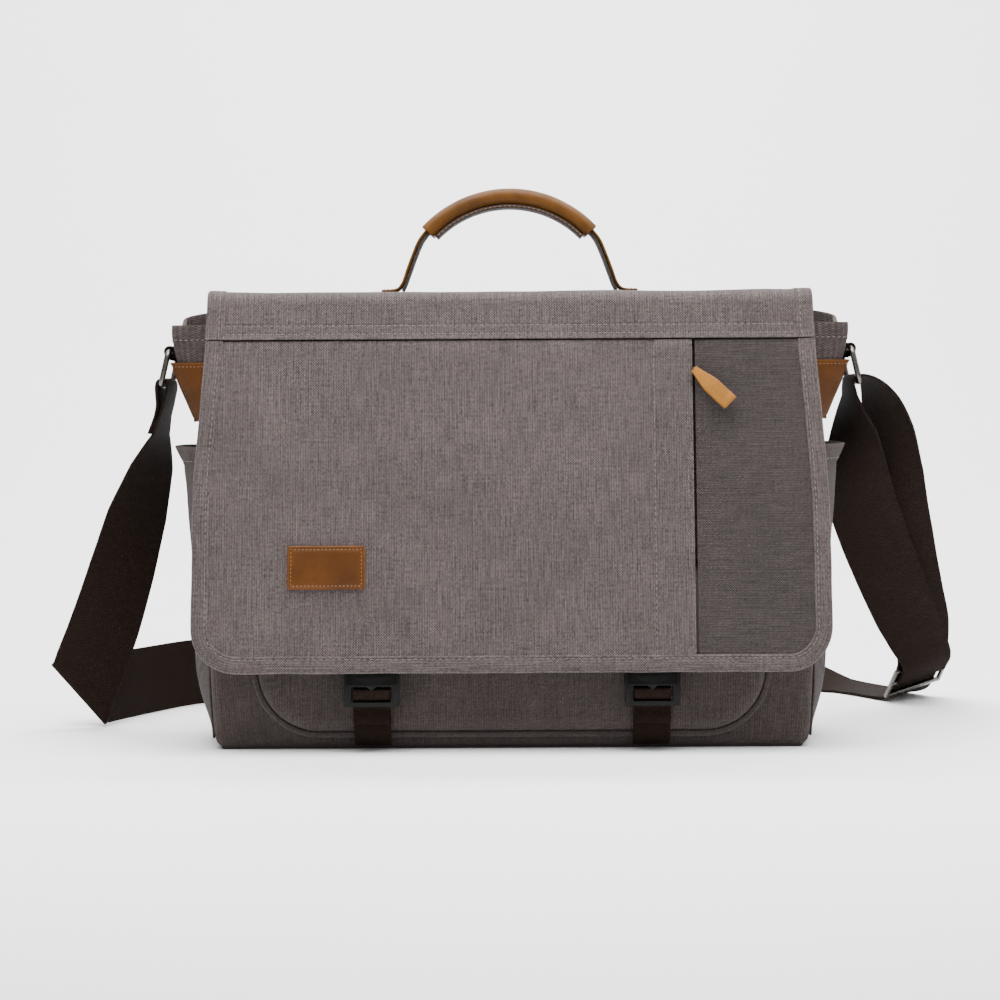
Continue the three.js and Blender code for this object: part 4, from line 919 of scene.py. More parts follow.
def swell(x, z):
    t = min(max(z / HEIGHT, 0), 1)
    return 4 * t * (1 - t) * max(0.0, 1 - (x / half_width(z)) ** 2)


def free(z):
    """How free a face is to wave at a height: not at all at its foot and its hem."""
    return 1 - min(dent(z, 0.02) + dent(z - HEIGHT, 0.03), 1)


def front_y(x, z):
    wave = rumple(x, 0, z, 0.085, 0.0016, 3) * free(z)
    return -mix(*FRONT_DEPTHS, z / HEIGHT) - 0.003 * swell(x, z) + wave


def back_y(x, z):
    wave = rumple(x, 1, z, 0.1, 0.0018, 11) * free(z)
    return mix(*BACK_DEPTHS, min(z / HEIGHT, 1)) + 0.002 * swell(x, z) + wave


def side_front(z):
    return -mix(*FRONT_DEPTHS, z / HEIGHT) + SIDE_IN


def side_back(z):
    return mix(*BACK_DEPTHS, min(z / HEIGHT, 1)) - SIDE_IN


def side_x(y, z, side=1):
    """Distance of a side from the middle of the bag, with its folded-out point."""
    t = (y - side_front(z)) / (side_back(z) - side_front(z))
    t = min(max(t, 0.0), 1.0)
    across = ease(t, 0, 0.18) * (1 - ease(t, 0.82, 1))
    slack = 4 * t * (1 - t)
    wave = rumple(side * 2, y, z, 0.07, 0.0014, 7) * slack * (1 - min(dent(z, 0.03), 1))
    crease = 0.0012 * dent(z - 0.185 - 0.03 * abs(2 * t - 1), 0.006) * slack
    return half_width(z) + 0.033 * ease(z, 0.19, HEIGHT) * across + wave - crease


def round_the_body(count_front=96, count_side=40, count_corner=5):
    """Stations round the bag, front first, as (part, share)."""
    turn = spread(0, 1, count_corner)[1:-1]
    walk = (("front", spread(-1, 1, count_front)), ("corner_fr", turn),
            ("right", spread(0, 1, count_side)), ("corner_br", turn),
            ("back", spread(1, -1, count_front)), ("corner_bl", turn),
            ("left", spread(1, 0, count_side)), ("corner_fl", turn))
    stops = [(part, share) for part, shares in walk for share in shares]
    return stops + stops[:1]


def body_point(stop, z, inset=0.0):
    """A point on the body's surface, or inside it by the inset."""
    part, share = stop
    edge = half_width(z) - CORNER
    if part == "front":
        return Vector((share * edge * (1 - inset / 0.2), front_y(share * edge, z) + inset, z))
    if part == "back":
        return Vector((share * edge * (1 - inset / 0.2), back_y(share * edge, z) - inset, z))
    side = 1 if part.endswith("r") or part == "right" else -1
    if part in ("right", "left"):
        y0 = front_y(side * edge, z) + CORNER
        y1 = back_y(side * edge, z) - CORNER
        y = mix(y0, y1, share)
        middle = (y0 + y1) / 2
        pulled = middle + (y - middle) * (1 - inset / 0.05)
        return Vector((side * (side_x(y, z, side) - inset), pulled, z))
    toward = -1 if part[7] == "f" else 1
    turn = (1 - share if part in ("corner_br", "corner_fl") else share) * math.pi / 2
    face_y = front_y(side * edge, z) if toward < 0 else back_y(side * edge, z)
    reach = CORNER - inset
    return Vector((side * (edge + reach * math.sin(turn)),
                   face_y + toward * (reach * math.cos(turn) - CORNER), z))


BODY_STOPS = round_the_body()
BODY_GIRTH = run_along([body_point(stop, 0.14) for stop in BODY_STOPS])
print("the body is", round(BODY_GIRTH[-1], 3), "m round")

# %% [markdown]
# ## Body shell
# The walls are lofted as one closed loop of cloth that tucks under at the base and is
# hemmed at the top, higher at the back than at the front. Its four upright seams stand
# as small ridges. Five separate panels would be quicker, but would look like a box.

# %% Loft the shell
HEM_DROP = 0.0105
SHELL_FOOT = 0.0012
SHELL_ROWS = [0.0, 0.006, 0.012, 0.02, 0.03] + spread(0.045, 0.9, 54)
SHELL_ROWS += [0.915, 0.93, 0.94, 0.948, 0.954, 0.96, 0.966, 0.972, 0.98, 0.988, 0.995, 1.0]


def shell_top(stop):
    part, share = stop
    if part in ("back", "corner_br", "corner_bl"):
        return HEIGHT + BACK_RISE
    if part in ("left", "right"):
        return HEIGHT + BACK_RISE * ease(share, 0.7, 0.97)
    return HEIGHT


def seam_ridge(stop):
    part, share = stop
    if part.startswith("corner"):
        return 1.0
    if part in ("front", "back"):
        return dent((1 - abs(share)) * 0.196, 0.003)
    return dent(min(share, 1 - share) * 0.09, 0.003)


def shell_place(k, v):
    stop = BODY_STOPS[k]
    top = shell_top(stop)
    z = mix(SHELL_FOOT, top, v)
    tuck = 0.004 * (1 - ease(z, SHELL_FOOT, 0.0075)) ** 2
    hem = 0.0005 * ease(z, top - 0.0125, top - 0.0112) \
        - 0.0004 * dent(z - top + HEM_DROP, 0.0009)
    ridge = 0.0006 * seam_ridge(stop) * ease(z, 0.004, 0.012)
    base_seam = -0.0007 * dent(z - 0.0085, 0.0014)
    return body_point(stop, z, tuck - hem - ridge - base_seam)


shell = cloth(
    "body_shell", range(len(BODY_STOPS)), SHELL_ROWS, shell_place,
    chart=lambda k, v: (BODY_GIRTH[k], v * HEIGHT),
    wear_and_shade=lambda k, v: 0.5 * dent(v - 1, 0.008) + 0.35 * seam_ridge(BODY_STOPS[k]),
)
close_seams(shell)
thicken(shell, 0.0028, rim=0.0006)
# The walls take the darker canvas copy, painted shade for the lower bag.
hand_over(shell, canvas_painted_shade, "canvas", "bag",
          "front_panel", "back_panel", "gusset_left", "gusset_right")

# %% [markdown]
# The base is a stiffened pad of darker canvas between the tucked walls. It is a cube
# pressed flat whose upright edges and rims are rounded.

# %% Base pad
base = block("base_pad", -0.1975, 0.1975, -0.0487, 0.0567, 0.0, 0.004)
soften(base, 0.0016, 3)
smooth(base)
hand_over(base, dark_canvas, "dark_canvas", "bag", "bottom_panel")

# %% [markdown]
# ## Lining and laptop sleeve
# Inside the walls hangs a smooth lining that closes over the base. It follows the same
# stations, a little further in, and its floor is made of loops that shrink to the middle.
# The sleeve against the back is two quilted faces over foam.

# %% Lining
LINING_FOOT = 0.0062
LINING_IN = 0.0036


def lining_place(k, v):
    """Up the walls for v from 0 to 1, and in over the floor for v below 0."""
    stop = BODY_STOPS[k]
    if v >= 0:
        z = mix(LINING_FOOT, 0.285, v)
        slack = abs(rumple(k * 0.02, 0, z, 0.04, 0.0006, 21))
        return body_point(stop, z, LINING_IN + 0.0016 * (stop[0] in ("left", "right")) + slack)
    edge = body_point(stop, LINING_FOOT, LINING_IN)
    return Vector((edge.x * (1 + v), mix(edge.y, 0.004, -v), 0.0056))


lining = cloth("main_lining", range(len(BODY_STOPS)),
               [-0.995, -0.8, -0.5, -0.25, -0.08, -0.02] + spread(0, 1, 40),
               lining_place, chart=lambda k, v: (BODY_GIRTH[k], v * HEIGHT))
close_seams(lining)
thicken(lining, 0.0009, rim=0.0002)
hand_over(lining, lining_cloth, "lining_cloth", "bag", "lining")

# %% Quilted sleeve
SLEEVE_FOOT = 0.0066
SLEEVE_TOP = 0.2466
SLEEVE_HALF = 0.19
SLEEVE_BACK = 0.0381


def sleeve_pillow(u, z, depth):
    """The sleeve is thinner at its rim and along its sewn channels."""
    edge = min((1 - abs(u)) * SLEEVE_HALF, z - SLEEVE_FOOT, SLEEVE_TOP - z)
    channel = max(dent(u * SLEEVE_HALF - n * 0.063, 0.0035) for n in range(-2, 3))
    return depth * ease(edge, 0, 0.012) * (1 - 0.45 * channel * ease(edge, 0.006, 0.02))


def sleeve_place(side):
    def place(u, z):
        x = u * (half_width(z) - 0.0104)
        stand = side * (0.0006 + sleeve_pillow(u, z, 0.0026))
        return Vector((x, back_y(x, z) - SLEEVE_BACK + stand, z))
    return place


sleeve_us = spread(-1, 1, 150)
sleeve_zs = spread(SLEEVE_FOOT, SLEEVE_TOP, 60)
sleeve = cloth("laptop_sleeve_pad", sleeve_us, sleeve_zs, sleeve_place(-1))
sleeve_back = cloth("sleeve_back", sleeve_us[::-1], sleeve_zs, sleeve_place(1))
select_only(sleeve)
sleeve_back.select_set(True)
bpy.ops.object.join()
close_seams(sleeve)
select_only(sleeve)
bpy.ops.object.mode_set(mode="EDIT")
bpy.ops.mesh.select_all(action="DESELECT")
bpy.ops.mesh.select_mode(type="EDGE")
bpy.ops.mesh.select_non_manifold()
bpy.ops.mesh.bridge_edge_loops()
bpy.ops.object.mode_set(mode="OBJECT")
face_outwards(sleeve)
smooth(sleeve, 70)
hand_over(sleeve, lining_cloth, "lining_cloth", "bag", "laptop_sleeve")
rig.padded(sleeve, fill=0.5)

# %% [markdown]
# ## Front pocket
# A patch pocket whose cloth rises steeply from its piping and then lies flat. Its face
# follows the front of the body at a distance, so both sag together. Low puckers run in
# from the round corners, where the cloth is eased into the seam.

# %% Pocket face
POCKET_HALF = 0.172
POCKET_FOOT = 0.013
POCKET_TOP = 0.163
POCKET_CORNER = 0.042


def rounded_half(half, rise, radius):
    """Half the width of a shape with round lower corners, at a rise above its foot."""
    if rise >= radius:
        return half
    return half - radius + math.sqrt(radius**2 - (radius - max(rise, 0.0)) ** 2)


def pocket_edge(x, z):
    """Distance from the pocket's sewn edge."""
    from_side, from_foot = POCKET_HALF - abs(x), z - POCKET_FOOT
    if from_side < POCKET_CORNER and from_foot < POCKET_CORNER:
        reach = math.hypot(POCKET_CORNER - from_side, POCKET_CORNER - from_foot)
        return POCKET_CORNER - reach
    return min(from_side, from_foot)


def pocket_y(x, z):
    edge = pocket_edge(x, z)
    rise = 1 - min(max(edge / 0.010, 0), 1)
    fan = math.sin(math.atan2(z - POCKET_FOOT - POCKET_CORNER, abs(x) - 0.13) * 34)
    pucker = 0.0007 * fan * dent(edge - 0.011, 0.009) * (abs(x) > 0.12) * (z < 0.06)
    sag = 0.0009 * math.sin(x * 21 + 1) * ease(z, 0.05, 0.15)
    stand = 0.0024 + 0.007 * math.sqrt(max(0.0, 1 - rise**2))
    return front_y(x, z) - stand + pucker + sag


def pocket_place(u, v):
    z = mix(POCKET_FOOT, POCKET_TOP, v)
    x = u * rounded_half(POCKET_HALF, z - POCKET_FOOT, POCKET_CORNER)
    hem = -0.0006 * ease(z, POCKET_TOP - 0.0135, POCKET_TOP - 0.0125) \
        + 0.0004 * dent(z - POCKET_TOP + 0.011, 0.0009)
    return Vector((x, pocket_y(x, z) + hem, z))


pocket_us = [-1, -0.995, -0.988] + spread(-0.98, -0.9, 8) + spread(-0.89, 0.89, 110)
pocket_us += spread(0.9, 0.98, 8) + [0.988, 0.995, 1]
pocket_vs = [0, 0.002, 0.006] + spread(0.012, 0.1, 12) + spread(0.11, 0.9, 60)
pocket_vs += spread(0.905, 1, 16)
pocket = cloth("front_pocket_face", pocket_us, pocket_vs, pocket_place,
               wear_and_shade=lambda u, v: 0.7 * dent(1 - v, 0.01) + 0.4 * dent(1 - abs(u), 0.02))
thicken(pocket, 0.0014, rim=0.0004)
# The pocket takes the darker canvas copy, painted shade for the lower bag.
hand_over(pocket, canvas_painted_shade, "canvas", "bag", "front_pocket")

# %% [markdown]
# Piping is a cord wrapped in a strip of cloth, and it stands round the sewn edge. A band
# with a round section does it. Just inside it, a groove shows where the cloth turns in.

# %% Piping
PIPING_OUT = 0.0024
PIPING_WIDE = 0.0044


def piping_line():
    half, radius = POCKET_HALF + PIPING_OUT, POCKET_CORNER + PIPING_OUT
    foot = POCKET_FOOT - PIPING_OUT
    turns = spread(0, math.pi / 2, 18)
    right = [(half - radius + radius * math.sin(a), foot + radius - radius * math.cos(a))
             for a in turns]
    right += [(half, z) for z in spread(foot + radius, POCKET_TOP, 40)[1:]]
    foot_line = [(x, foot) for x in spread(-half + radius, half - radius, 90)[1:-1]]
    flat = [(-x, z) for x, z in right[::-1]] + foot_line + right
    return [Vector((x, front_y(x, z) - 0.0021, z)) for x, z in flat]


DEPTHWISE = Vector((0, 1, 0))
piping = band("front_pocket_cord_edge", stations(piping_line(), DEPTHWISE),
              oval(PIPING_WIDE, PIPING_WIDE, 12))
# The piping takes the darker canvas copy, painted shade for the lower bag.
hand_over(piping, canvas_painted_shade, "dark_canvas", "bag", "front_pocket_piping")

# %% [markdown]
# ## Side pockets
# Each side pocket is a wide piece of cloth gathered to the gusset, so its rim bows out
# and leaves an opening. Two short pleats near the foot take up its fullness.

# %% Side pockets
SIDE_FOOT = 0.007
SIDE_TOP = 0.205
SIDE_HEM = 0.010


def side_pocket_stand(t, z):
    rise = math.sin(min(1.0, max(0.0, (z - SIDE_FOOT) / 0.045)) * math.pi / 2)
    lip = 0.011 * (z / SIDE_TOP) ** 4
    return (0.013 * rise + lip) * (1 - abs(2 * t - 1) ** 2.6)


def pleat(t, z):
    """Two creases that run down from the edges to the middle of the foot."""
    near = min(t, 1 - t)
    groove = 0.0
    for t0, z0, t1, z1 in ((0.06, 0.085, 0.33, 0.036), (0.02, 0.06, 0.33, 0.036)):
        share = min(max((near - t0) / (t1 - t0), 0), 1)
        fade = ease(share, 0, 0.15) * (1 - ease(share, 0.8, 1))
        groove += dent(z - mix(z0, z1, share), 0.0022) * fade
    return groove


def side_pocket_place(side):
    def place(t, z):
        shown = t if side > 0 else 1 - t
        y = mix(side_front(z) + 0.003, side_back(z) - 0.003, shown)
        hem = 0.0007 * ease(z, SIDE_TOP - 0.0125, SIDE_TOP - 0.0115) \
            - 0.0004 * dent(z - SIDE_TOP + SIDE_HEM, 0.0009)
        wave = rumple(side, y, z, 0.03, 0.0012, 5) * ease(z, 0.02, 0.06)
        stand = side_pocket_stand(shown, z) + hem + wave - 0.0016 * pleat(shown, z)
        return Vector((side * (side_x(y, z, side) + 0.0024 + stand), y, z))
    return place


side_zs = spread(SIDE_FOOT, 0.05, 24) + spread(0.052, 0.188, 50) + spread(0.19, SIDE_TOP, 14)
for word, side in SIDES:
    side_pocket = cloth("side_pocket_%s_cloth" % word, spread(0, 1, 64), side_zs,
                        side_pocket_place(side), chart=lambda t, z: (t * 0.13, z),
                        wear_and_shade=lambda t, z: 0.8 * dent(z - SIDE_TOP, 0.002))
    thicken(side_pocket, 0.0016, rim=0.0004)
    # The side pockets take the darker canvas copy, painted shade for the lower bag.
    hand_over(side_pocket, canvas_painted_shade, "canvas", "bag", "side_pocket_" + word)

# %% Stitches on the body
POCKET_ROW_Z = 0.152
body_rows = []
for part, side in (("left", -1), ("right", 1)):
    stops = [(part, t) for t in spread(0.0, 1.0, 60)]
    body_rows.append([(body_point(stop, shell_top(stop) - HEM_DROP, -0.0002), (side, -0.4, 0.1))
                      for stop in stops])
body_rows.append([(body_point(("front", u), HEIGHT - HEM_DROP, -0.0002), (0, -1, 0))
                  for u in spread(-1, 1, 80)])
body_rows.append([(body_point(("back", u), HEIGHT + BACK_RISE - 0.014, -0.0003), (0, 1, 0))
                  for u in spread(-0.86, 0.86, 80)])
body_rows.append([((x, pocket_y(x, POCKET_ROW_Z), POCKET_ROW_Z), (0, -1, 0))
                  for x in spread(-0.17, 0.17, 80)])
for word, side in SIDES:
    place = side_pocket_place(side)
    body_rows.append([(place(t, SIDE_TOP - SIDE_HEM), (side, 0, 0))
                      for t in spread(0.02, 0.98, 50)])
hand_over(sew("body_stitches", body_rows), thread, "canvas", "bag")

# %% [markdown]
# ## Form of the flap
# The flap hangs from the back edge: a strip lies over the top and turns down, and the
# front panels hang from its lower seam on a slope. One function gives any point of the
# slope at a depth behind its outer face, with the long waves that the cloth has there.
# The waves die out at the seam and beside the zip, where the cloth is held.

# %% Flap form
SLOPE = math.atan(0.027 / 0.223)
FLAP_OUT = Vector((0, -math.cos(SLOPE), math.sin(SLOPE)))
FLAP_UP = Vector((0, math.sin(SLOPE), math.cos(SLOPE)))
SEAM_Z = 0.278
HEM_Z = 0.055
FLAP_TOP = 0.311
FLAP_CORNER = 0.03
BACK_FOLD = 0.007
FRONT_FOLD = 0.01


def flap_wave(x, z):
    held = ease(SEAM_Z - z, 0.0, 0.06)
    calm = 1 - 0.85 * dent(x - 0.12, 0.025)
    wave = rumple(x, 0, z, 0.11, 0.0019, 31) + rumple(x, 0, z, 0.04, 0.0006, 57)
    return wave * held * calm


def flat_flap_point(x, z, inward=0.0):
    y = -0.054 - (SEAM_Z - z) * math.tan(SLOPE)
    return Vector((x, y, z)) - FLAP_OUT * inward


def flap_point(x, z, inward=0.0):
    return flat_flap_point(x, z, inward - flap_wave(x, z))


def flap_half(z):
    return mix(0.2055, 0.2145, ease(FLAP_TOP - z, 0, 0.16))


def flap_edge(z):
    return rounded_half(flap_half(z), z - HEM_Z, FLAP_CORNER)


def strip_profile():
    """The strip from the back edge, over the top and down to the seam: (place, out)."""
    back_y0, front_y0 = 0.0422, -0.04114
    spine = [(0.0500, 0.2996), (0.0497, 0.3010), (0.0494, 0.3025)]
    spine += [(back_y0 + BACK_FOLD * math.cos(a), 0.304 + BACK_FOLD * math.sin(a))
              for a in spread(0, math.pi / 2, 10)]
    spine += [(mix(back_y0, -0.0411, t), FLAP_TOP) for t in spread(0, 1, 40)[1:-1]]
    spine += [(front_y0 + FRONT_FOLD * math.cos(a), 0.301 + FRONT_FOLD * math.sin(a))
              for a in spread(math.pi / 2, math.pi - SLOPE, 14)]
    foot = flat_flap_point(0, SEAM_Z + 0.0003)
    spine += [(mix(spine[-1][0], foot.y, t), mix(spine[-1][1], foot.z, t))
              for t in spread(0, 1, 34)[1:]]
    profile = []
    for i, (y, z) in enumerate(spine):
        y0, z0 = spine[max(i - 1, 0)]
        y1, z1 = spine[min(i + 1, len(spine) - 1)]
        profile.append((Vector((0, y, z)), Vector((0, z1 - z0, y0 - y1)).normalized()))
    return profile


PROFILE = strip_profile()
PROFILE_RUN = run_along([place for place, out in PROFILE])
print("strip from hinge to seam:", round(PROFILE_RUN[-1], 3), "m")

# %% [markdown]
# ## Top strip
# The strip is doubled canvas. Its ends are hemmed, its front corner is rounded by the
# foam inside, and two rows of stitches run along the seam. The hems and the grooves are
# part of the one cloth, with extra columns where the relief changes. It bends with the
# back of the bag at its first centimetre, where it is sewn on.

# %% Strip cloth
STRIP_HALF = 0.2055
HEM_WIDTH = 0.0115
HEM_ROW = 0.0092
SEAM_ROWS = (0.0034, 0.0095)


def to_seam(i):
    return PROFILE_RUN[-1] - PROFILE_RUN[i]


def strip_lift(x, i):
    run, left = PROFILE_RUN[i], to_seam(i)
    edge = STRIP_HALF + 0.0003 - abs(x)
    hem = 0.0009 * ease(HEM_WIDTH - edge, 0, 0.0005) - 0.0005 * dent(edge - HEM_ROW, 0.0007)
    rows = -0.0004 * sum(dent(left - row, 0.0008) for row in SEAM_ROWS) * (edge > HEM_WIDTH)
    wave = rumple(x, 2, run, 0.09, 0.0016, 41) + rumple(x, 2, run, 0.03, 0.0004, 43)
    wave *= ease(run, 0, 0.02) * ease(left, 0, 0.016)
    return hem + rows + wave + 0.0006 * dent(left, 0.004)


def strip_place(x, i):
    centre, out = PROFILE[i]
    wide = x / STRIP_HALF * flap_half(centre.z)
    round_edge = 0.0009 * ease(abs(x), STRIP_HALF - 0.001, STRIP_HALF)
    return Vector((wide, centre.y, centre.z)) + out * (strip_lift(x, i) - round_edge)


def strip_wear_and_shade(x, i):
    """Paler along the seam and the hemmed ends, where rubbed; darker just under the top fold, which is painted shade.
    """
    # The last term is painted shade under the top fold.
    return 0.5 * dent(to_seam(i) - 0.0005, 0.0012) + 0.6 * ease(abs(x), 0.203, STRIP_HALF) \
        - 0.3 * dent(to_seam(i) - 0.034, 0.012)


hem_xs = [0.2055, 0.2051, 0.2045, 0.2030, 0.2, 0.1975, 0.1969, 0.1966, 0.1963, 0.1957,
          0.1948, 0.1944, 0.1940, 0.1936]
strip_xs = [-x for x in hem_xs] + spread(-0.191, 0.191, 150) + hem_xs[::-1]
strip = cloth("flap_top_strip", strip_xs, range(len(PROFILE)), strip_place,
              chart=lambda x, i: (x, PROFILE_RUN[i]), wear_and_shade=strip_wear_and_shade)
edit(strip, bpy.ops.mesh.flip_normals)
thicken(strip, 0.0026, rim=0.0006)
hand_over(strip, canvas, "canvas",
          ("bag", "flap_strip", (0, 0.0515, 0.3000), (0, 0.0452, 0.3032)),
          "flap_top", "flap_top_binding_left", "flap_top_binding_right")

# %% [markdown]
# ## Front panels of the flap
# The wide panel runs from the left hem to the placket and ends in a folded edge over the
# zip. The narrow side panel is cut the other way of the cloth, so its yarns lie across.
# Both are grids on the slope. Columns are set close together at the sewn line and at
# the folded edge, where the relief is narrow.

# %% Panel cloths
PLACKET_SEAM = 0.097
PLACKET_FOLD = 0.1232
SIDE_PANEL_LEFT = 0.1250
UNDER_HEM = 0.0012
FLAP_ZS = [HEM_Z + 0.004 + 0.026 * (1 - math.cos(a)) for a in spread(0, math.pi / 2, 16)]
FLAP_ZS += spread(HEM_Z + 0.032, 0.27, 96) + [0.2715, 0.273, 0.2745, 0.2755, 0.2764, 0.2772]


def seam_hang(z):
    """The cloth is drawn in where it goes under the strip."""
    return 0.0009 * dent(SEAM_Z - z, 0.0035)


def panel_lift(x, z):
    seam = -0.0005 * dent(x - PLACKET_SEAM, 0.0008)
    doubled = 0.0007 * ease(x, PLACKET_SEAM - 0.0005, PLACKET_SEAM + 0.002)
    rolled = -0.0011 * ease(x, PLACKET_FOLD - 0.0016, PLACKET_FOLD)
    pucker = 0.0003 * math.sin(z * 520) * dent(x - PLACKET_SEAM, 0.004)
    return seam + doubled + rolled + pucker - seam_hang(z)


def panel_place(u, z):
    """The wide part for u up to 1, and the placket from there to 2."""
    left = UNDER_HEM - flap_edge(z)
    x = mix(left, 0.09, u) if u <= 1 else mix(0.09, PLACKET_FOLD, u - 1)
    return flap_point(x, z, -panel_lift(x, z))


def panel_wear(u, z):
    return 0.75 * dent(2 - u, 0.05) + 0.3 * dent(u - 1.22, 0.03) + 0.3 * dent(SEAM_Z - z, 0.004)


panel = cloth("flap_front_panel", spread(0, 1, 130) + spread(1.01, 2, 44), FLAP_ZS,
              panel_place, wear_and_shade=panel_wear)
thicken(panel, 0.0016, rim=0.0005)


def side_panel_place(u, z):
    x = mix(SIDE_PANEL_LEFT, flap_edge(z) - UNDER_HEM, u)
    return flap_point(x, z, 0.0007 * dent(x - SIDE_PANEL_LEFT, 0.006) + seam_hang(z))


side_panel = cloth("flap_narrow_panel", spread(0, 1, 56), FLAP_ZS, side_panel_place)
thicken(side_panel, 0.0014, rim=0.0004)
print("panels:", len(panel.data.polygons), "and", len(side_panel.data.polygons), "faces")

# %% [markdown]
# The hem is the edge of the flap folded over twice. It follows the sides, the round
# corners and the foot, and wraps from the front to the lining. A closed section laid
# along the outline gives the fold at the outside, the sewn groove and the loose inner
# edge, all of which catch the light.

# %% Flap hem
HEM_SECTION = [(0.0117, 0.0004), (0.0115, -0.0007), (0.0109, -0.0010), (0.0101, -0.0010),
               (0.0095, -0.0006), (0.0089, -0.0006), (0.0083, -0.0010), (0.0065, -0.0013),
               (0.0042, -0.0013), (0.0021, -0.0011), (0.0007, -0.0005), (-0.0001, 0.0006),
               (-0.0001, 0.0019), (0.0006, 0.0031), (0.0022, 0.0040), (0.006, 0.0042),
               (0.0105, 0.0041), (0.0115, 0.0038)]
# How rubbed each point of the hem's section is: paler on the folds, and below 0 in the sewn groove, which is painted
# shade.
HEM_WEAR_AND_SHADE = (0.4, 0.45, 0.3, 0.0, -0.4, -0.4, 0, 0, 0, 0, 0.3, 0.4, 0.2, 0, 0, 0, 0, 0, 0.4)


def hem_line():
    """Places along the outline with the direction to the inside of the flap."""
    def corner(side, turns):
        rises = [FLAP_CORNER * (1 - math.cos(a)) for a in turns]
        return [(side * (flap_half(HEM_Z + rise) - FLAP_CORNER + FLAP_CORNER * math.sin(a)),
                 HEM_Z + rise, -side * math.sin(a), math.cos(a))
                for a, rise in zip(turns, rises)]

    turns = spread(math.pi / 2, 0, 22)
    heights = spread(0.2774, HEM_Z + FLAP_CORNER, 110)
    flat = flap_half(HEM_Z) - FLAP_CORNER
    line = [(-flap_half(z), z, 1, 0) for z in heights[:-1]] + corner(-1, turns)
    line += [(x, HEM_Z, 0, 1) for x in spread(-flat, flat, 170)[1:-1]]
    return line + corner(1, turns[::-1]) + [(flap_half(z), z, -1, 0) for z in heights[-2::-1]]


HEM = hem_line()
HEM_RUN = run_along([Vector(row[:2]) for row in HEM])


def hem_place(i, k):
    x, z, to_x, to_z = HEM[i]
    inset, inward = HEM_SECTION[k % len(HEM_SECTION)]
    inset += rumple(x, 0, z, 0.02, 0.0004, 13)
    inward += rumple(x, 0, z, 0.012, 0.00025, 17) * (inward < 0)
    return flap_point(x + inset * to_x, z + inset * to_z, inward)


def hem_chart(i, k):
    """The fold's back half lies 20 mm further on in the cloth."""
    return HEM_SECTION[k % len(HEM_SECTION)][0] + (0.02 if k > 12 else 0), HEM_RUN[i]


hem = cloth("flap_hem_fold", range(len(HEM)), range(len(HEM_SECTION) + 1), hem_place,
            chart=hem_chart, wear_and_shade=lambda i, k: HEM_WEAR_AND_SHADE[k])
seal(hem, 60)

# %% Flap lining
FLAP_BEND = ("flap_strip", "flap", (0, -0.054, 0.2786), (0, -0.0548, 0.2695))


def lining_depth(x, z):
    """Behind the panels, deeper round the zip, and up behind the strip at the seam."""
    near = 1 - min(max(abs(x - 0.118) / 0.028, 0), 1)
    round_zip = 0.0048 * ease(near, 0, 0.5) * ease(z, 0.119, 0.1286)
    return 0.0024 + round_zip + 0.0016 * ease(z, 0.2755, 0.2786)


def flap_lining_place(u, z):
    half = flap_edge(z) - UNDER_HEM
    x = mix(-half, half, u)
    return flap_point(x, z, lining_depth(x, z) + abs(rumple(x, 5, z, 0.05, 0.0003, 9)))


flap_lining = cloth("flap_inner_lining", spread(0, 1, 150),
                    FLAP_ZS + spread(0.2786, 0.2835, 5), flap_lining_place)
thicken(flap_lining, 0.0010, rim=0.0002)

# %% [markdown]
# All four cloths of the flap's front bend across the seam below the strip, so each is
# handed over with the same bend between the strip and the flap.

# %% The flap's cloths bend at the seam
hand_over(panel, canvas, "canvas", FLAP_BEND, "flap_panel", "zip_placket")
hand_over(side_panel, canvas_turned, "canvas", FLAP_BEND, "flap_side_panel")
hand_over(hem, canvas, "canvas", FLAP_BEND, "flap_binding")
hand_over(flap_lining, lining_cloth, "lining_cloth", FLAP_BEND, "flap_lining")

# %% Stitches on the flap
strip_rows = []
for left in SEAM_ROWS:
    i = min(range(len(PROFILE)), key=lambda n: abs(to_seam(n) - left))
    strip_rows.append([(strip_place(x, i), PROFILE[i][1]) for x in spread(-0.193, 0.193, 200)])
for word, side in SIDES:
    strip_rows.append([(strip_place(side * 0.1966, i), PROFILE[i][1])
                       for i in range(6, len(PROFILE))])
hand_over(sew("strip_stitches", strip_rows), thread, "canvas", "flap_strip")

bend_foot = FLAP_BEND[3][2]
hem_row = [(flap_point(x + HEM_ROW * to_x, z + HEM_ROW * to_z, -0.0006), FLAP_OUT)
           for x, z, to_x, to_z in HEM[3:-3] if z < bend_foot]
placket_row = [(flap_point(PLACKET_SEAM, z, -panel_lift(PLACKET_SEAM, z)), FLAP_OUT)
               for z in spread(bend_foot, HEM_Z + 0.012, 120)]
hand_over(sew("flap_stitches", [hem_row, placket_row]), thread, "canvas", "flap")

# %% [markdown]
# ## Leather patch
# A blank patch of brown leather is sewn on near the left corner. Its corners are round,
# its cut edge is burnished paler, and the stitches pull a groove inside the edge.

# %% Patch
PATCH = Vector((-0.124, 0, 0.125))
PATCH_HALF = (0.026, 0.0145)
PATCH_ROW = (0.0236, 0.0121)


def patch_flat(u, v):
    """Columns and rows drawn together at the edges, with round corners."""
    x = PATCH_HALF[0] * math.sin(u * math.pi / 2)
    half = rounded_half(PATCH_HALF[1], PATCH_HALF[0] - abs(x), 0.0025)
    return x, half * math.sin(v * math.pi / 2)


def patch_rim(x, z):
    return min(PATCH_HALF[0] - abs(x), PATCH_HALF[1] - abs(z))


def patch_place(u, v):
    x, z = patch_flat(u, v)
    rim = patch_rim(x, z)
    lift = 0.0019 - 0.0005 * dent(rim - 0.0024, 0.0006) - 0.0006 * (1 - ease(rim, 0, 0.0007))
    return flap_point(PATCH.x + x, PATCH.z + z, -lift)


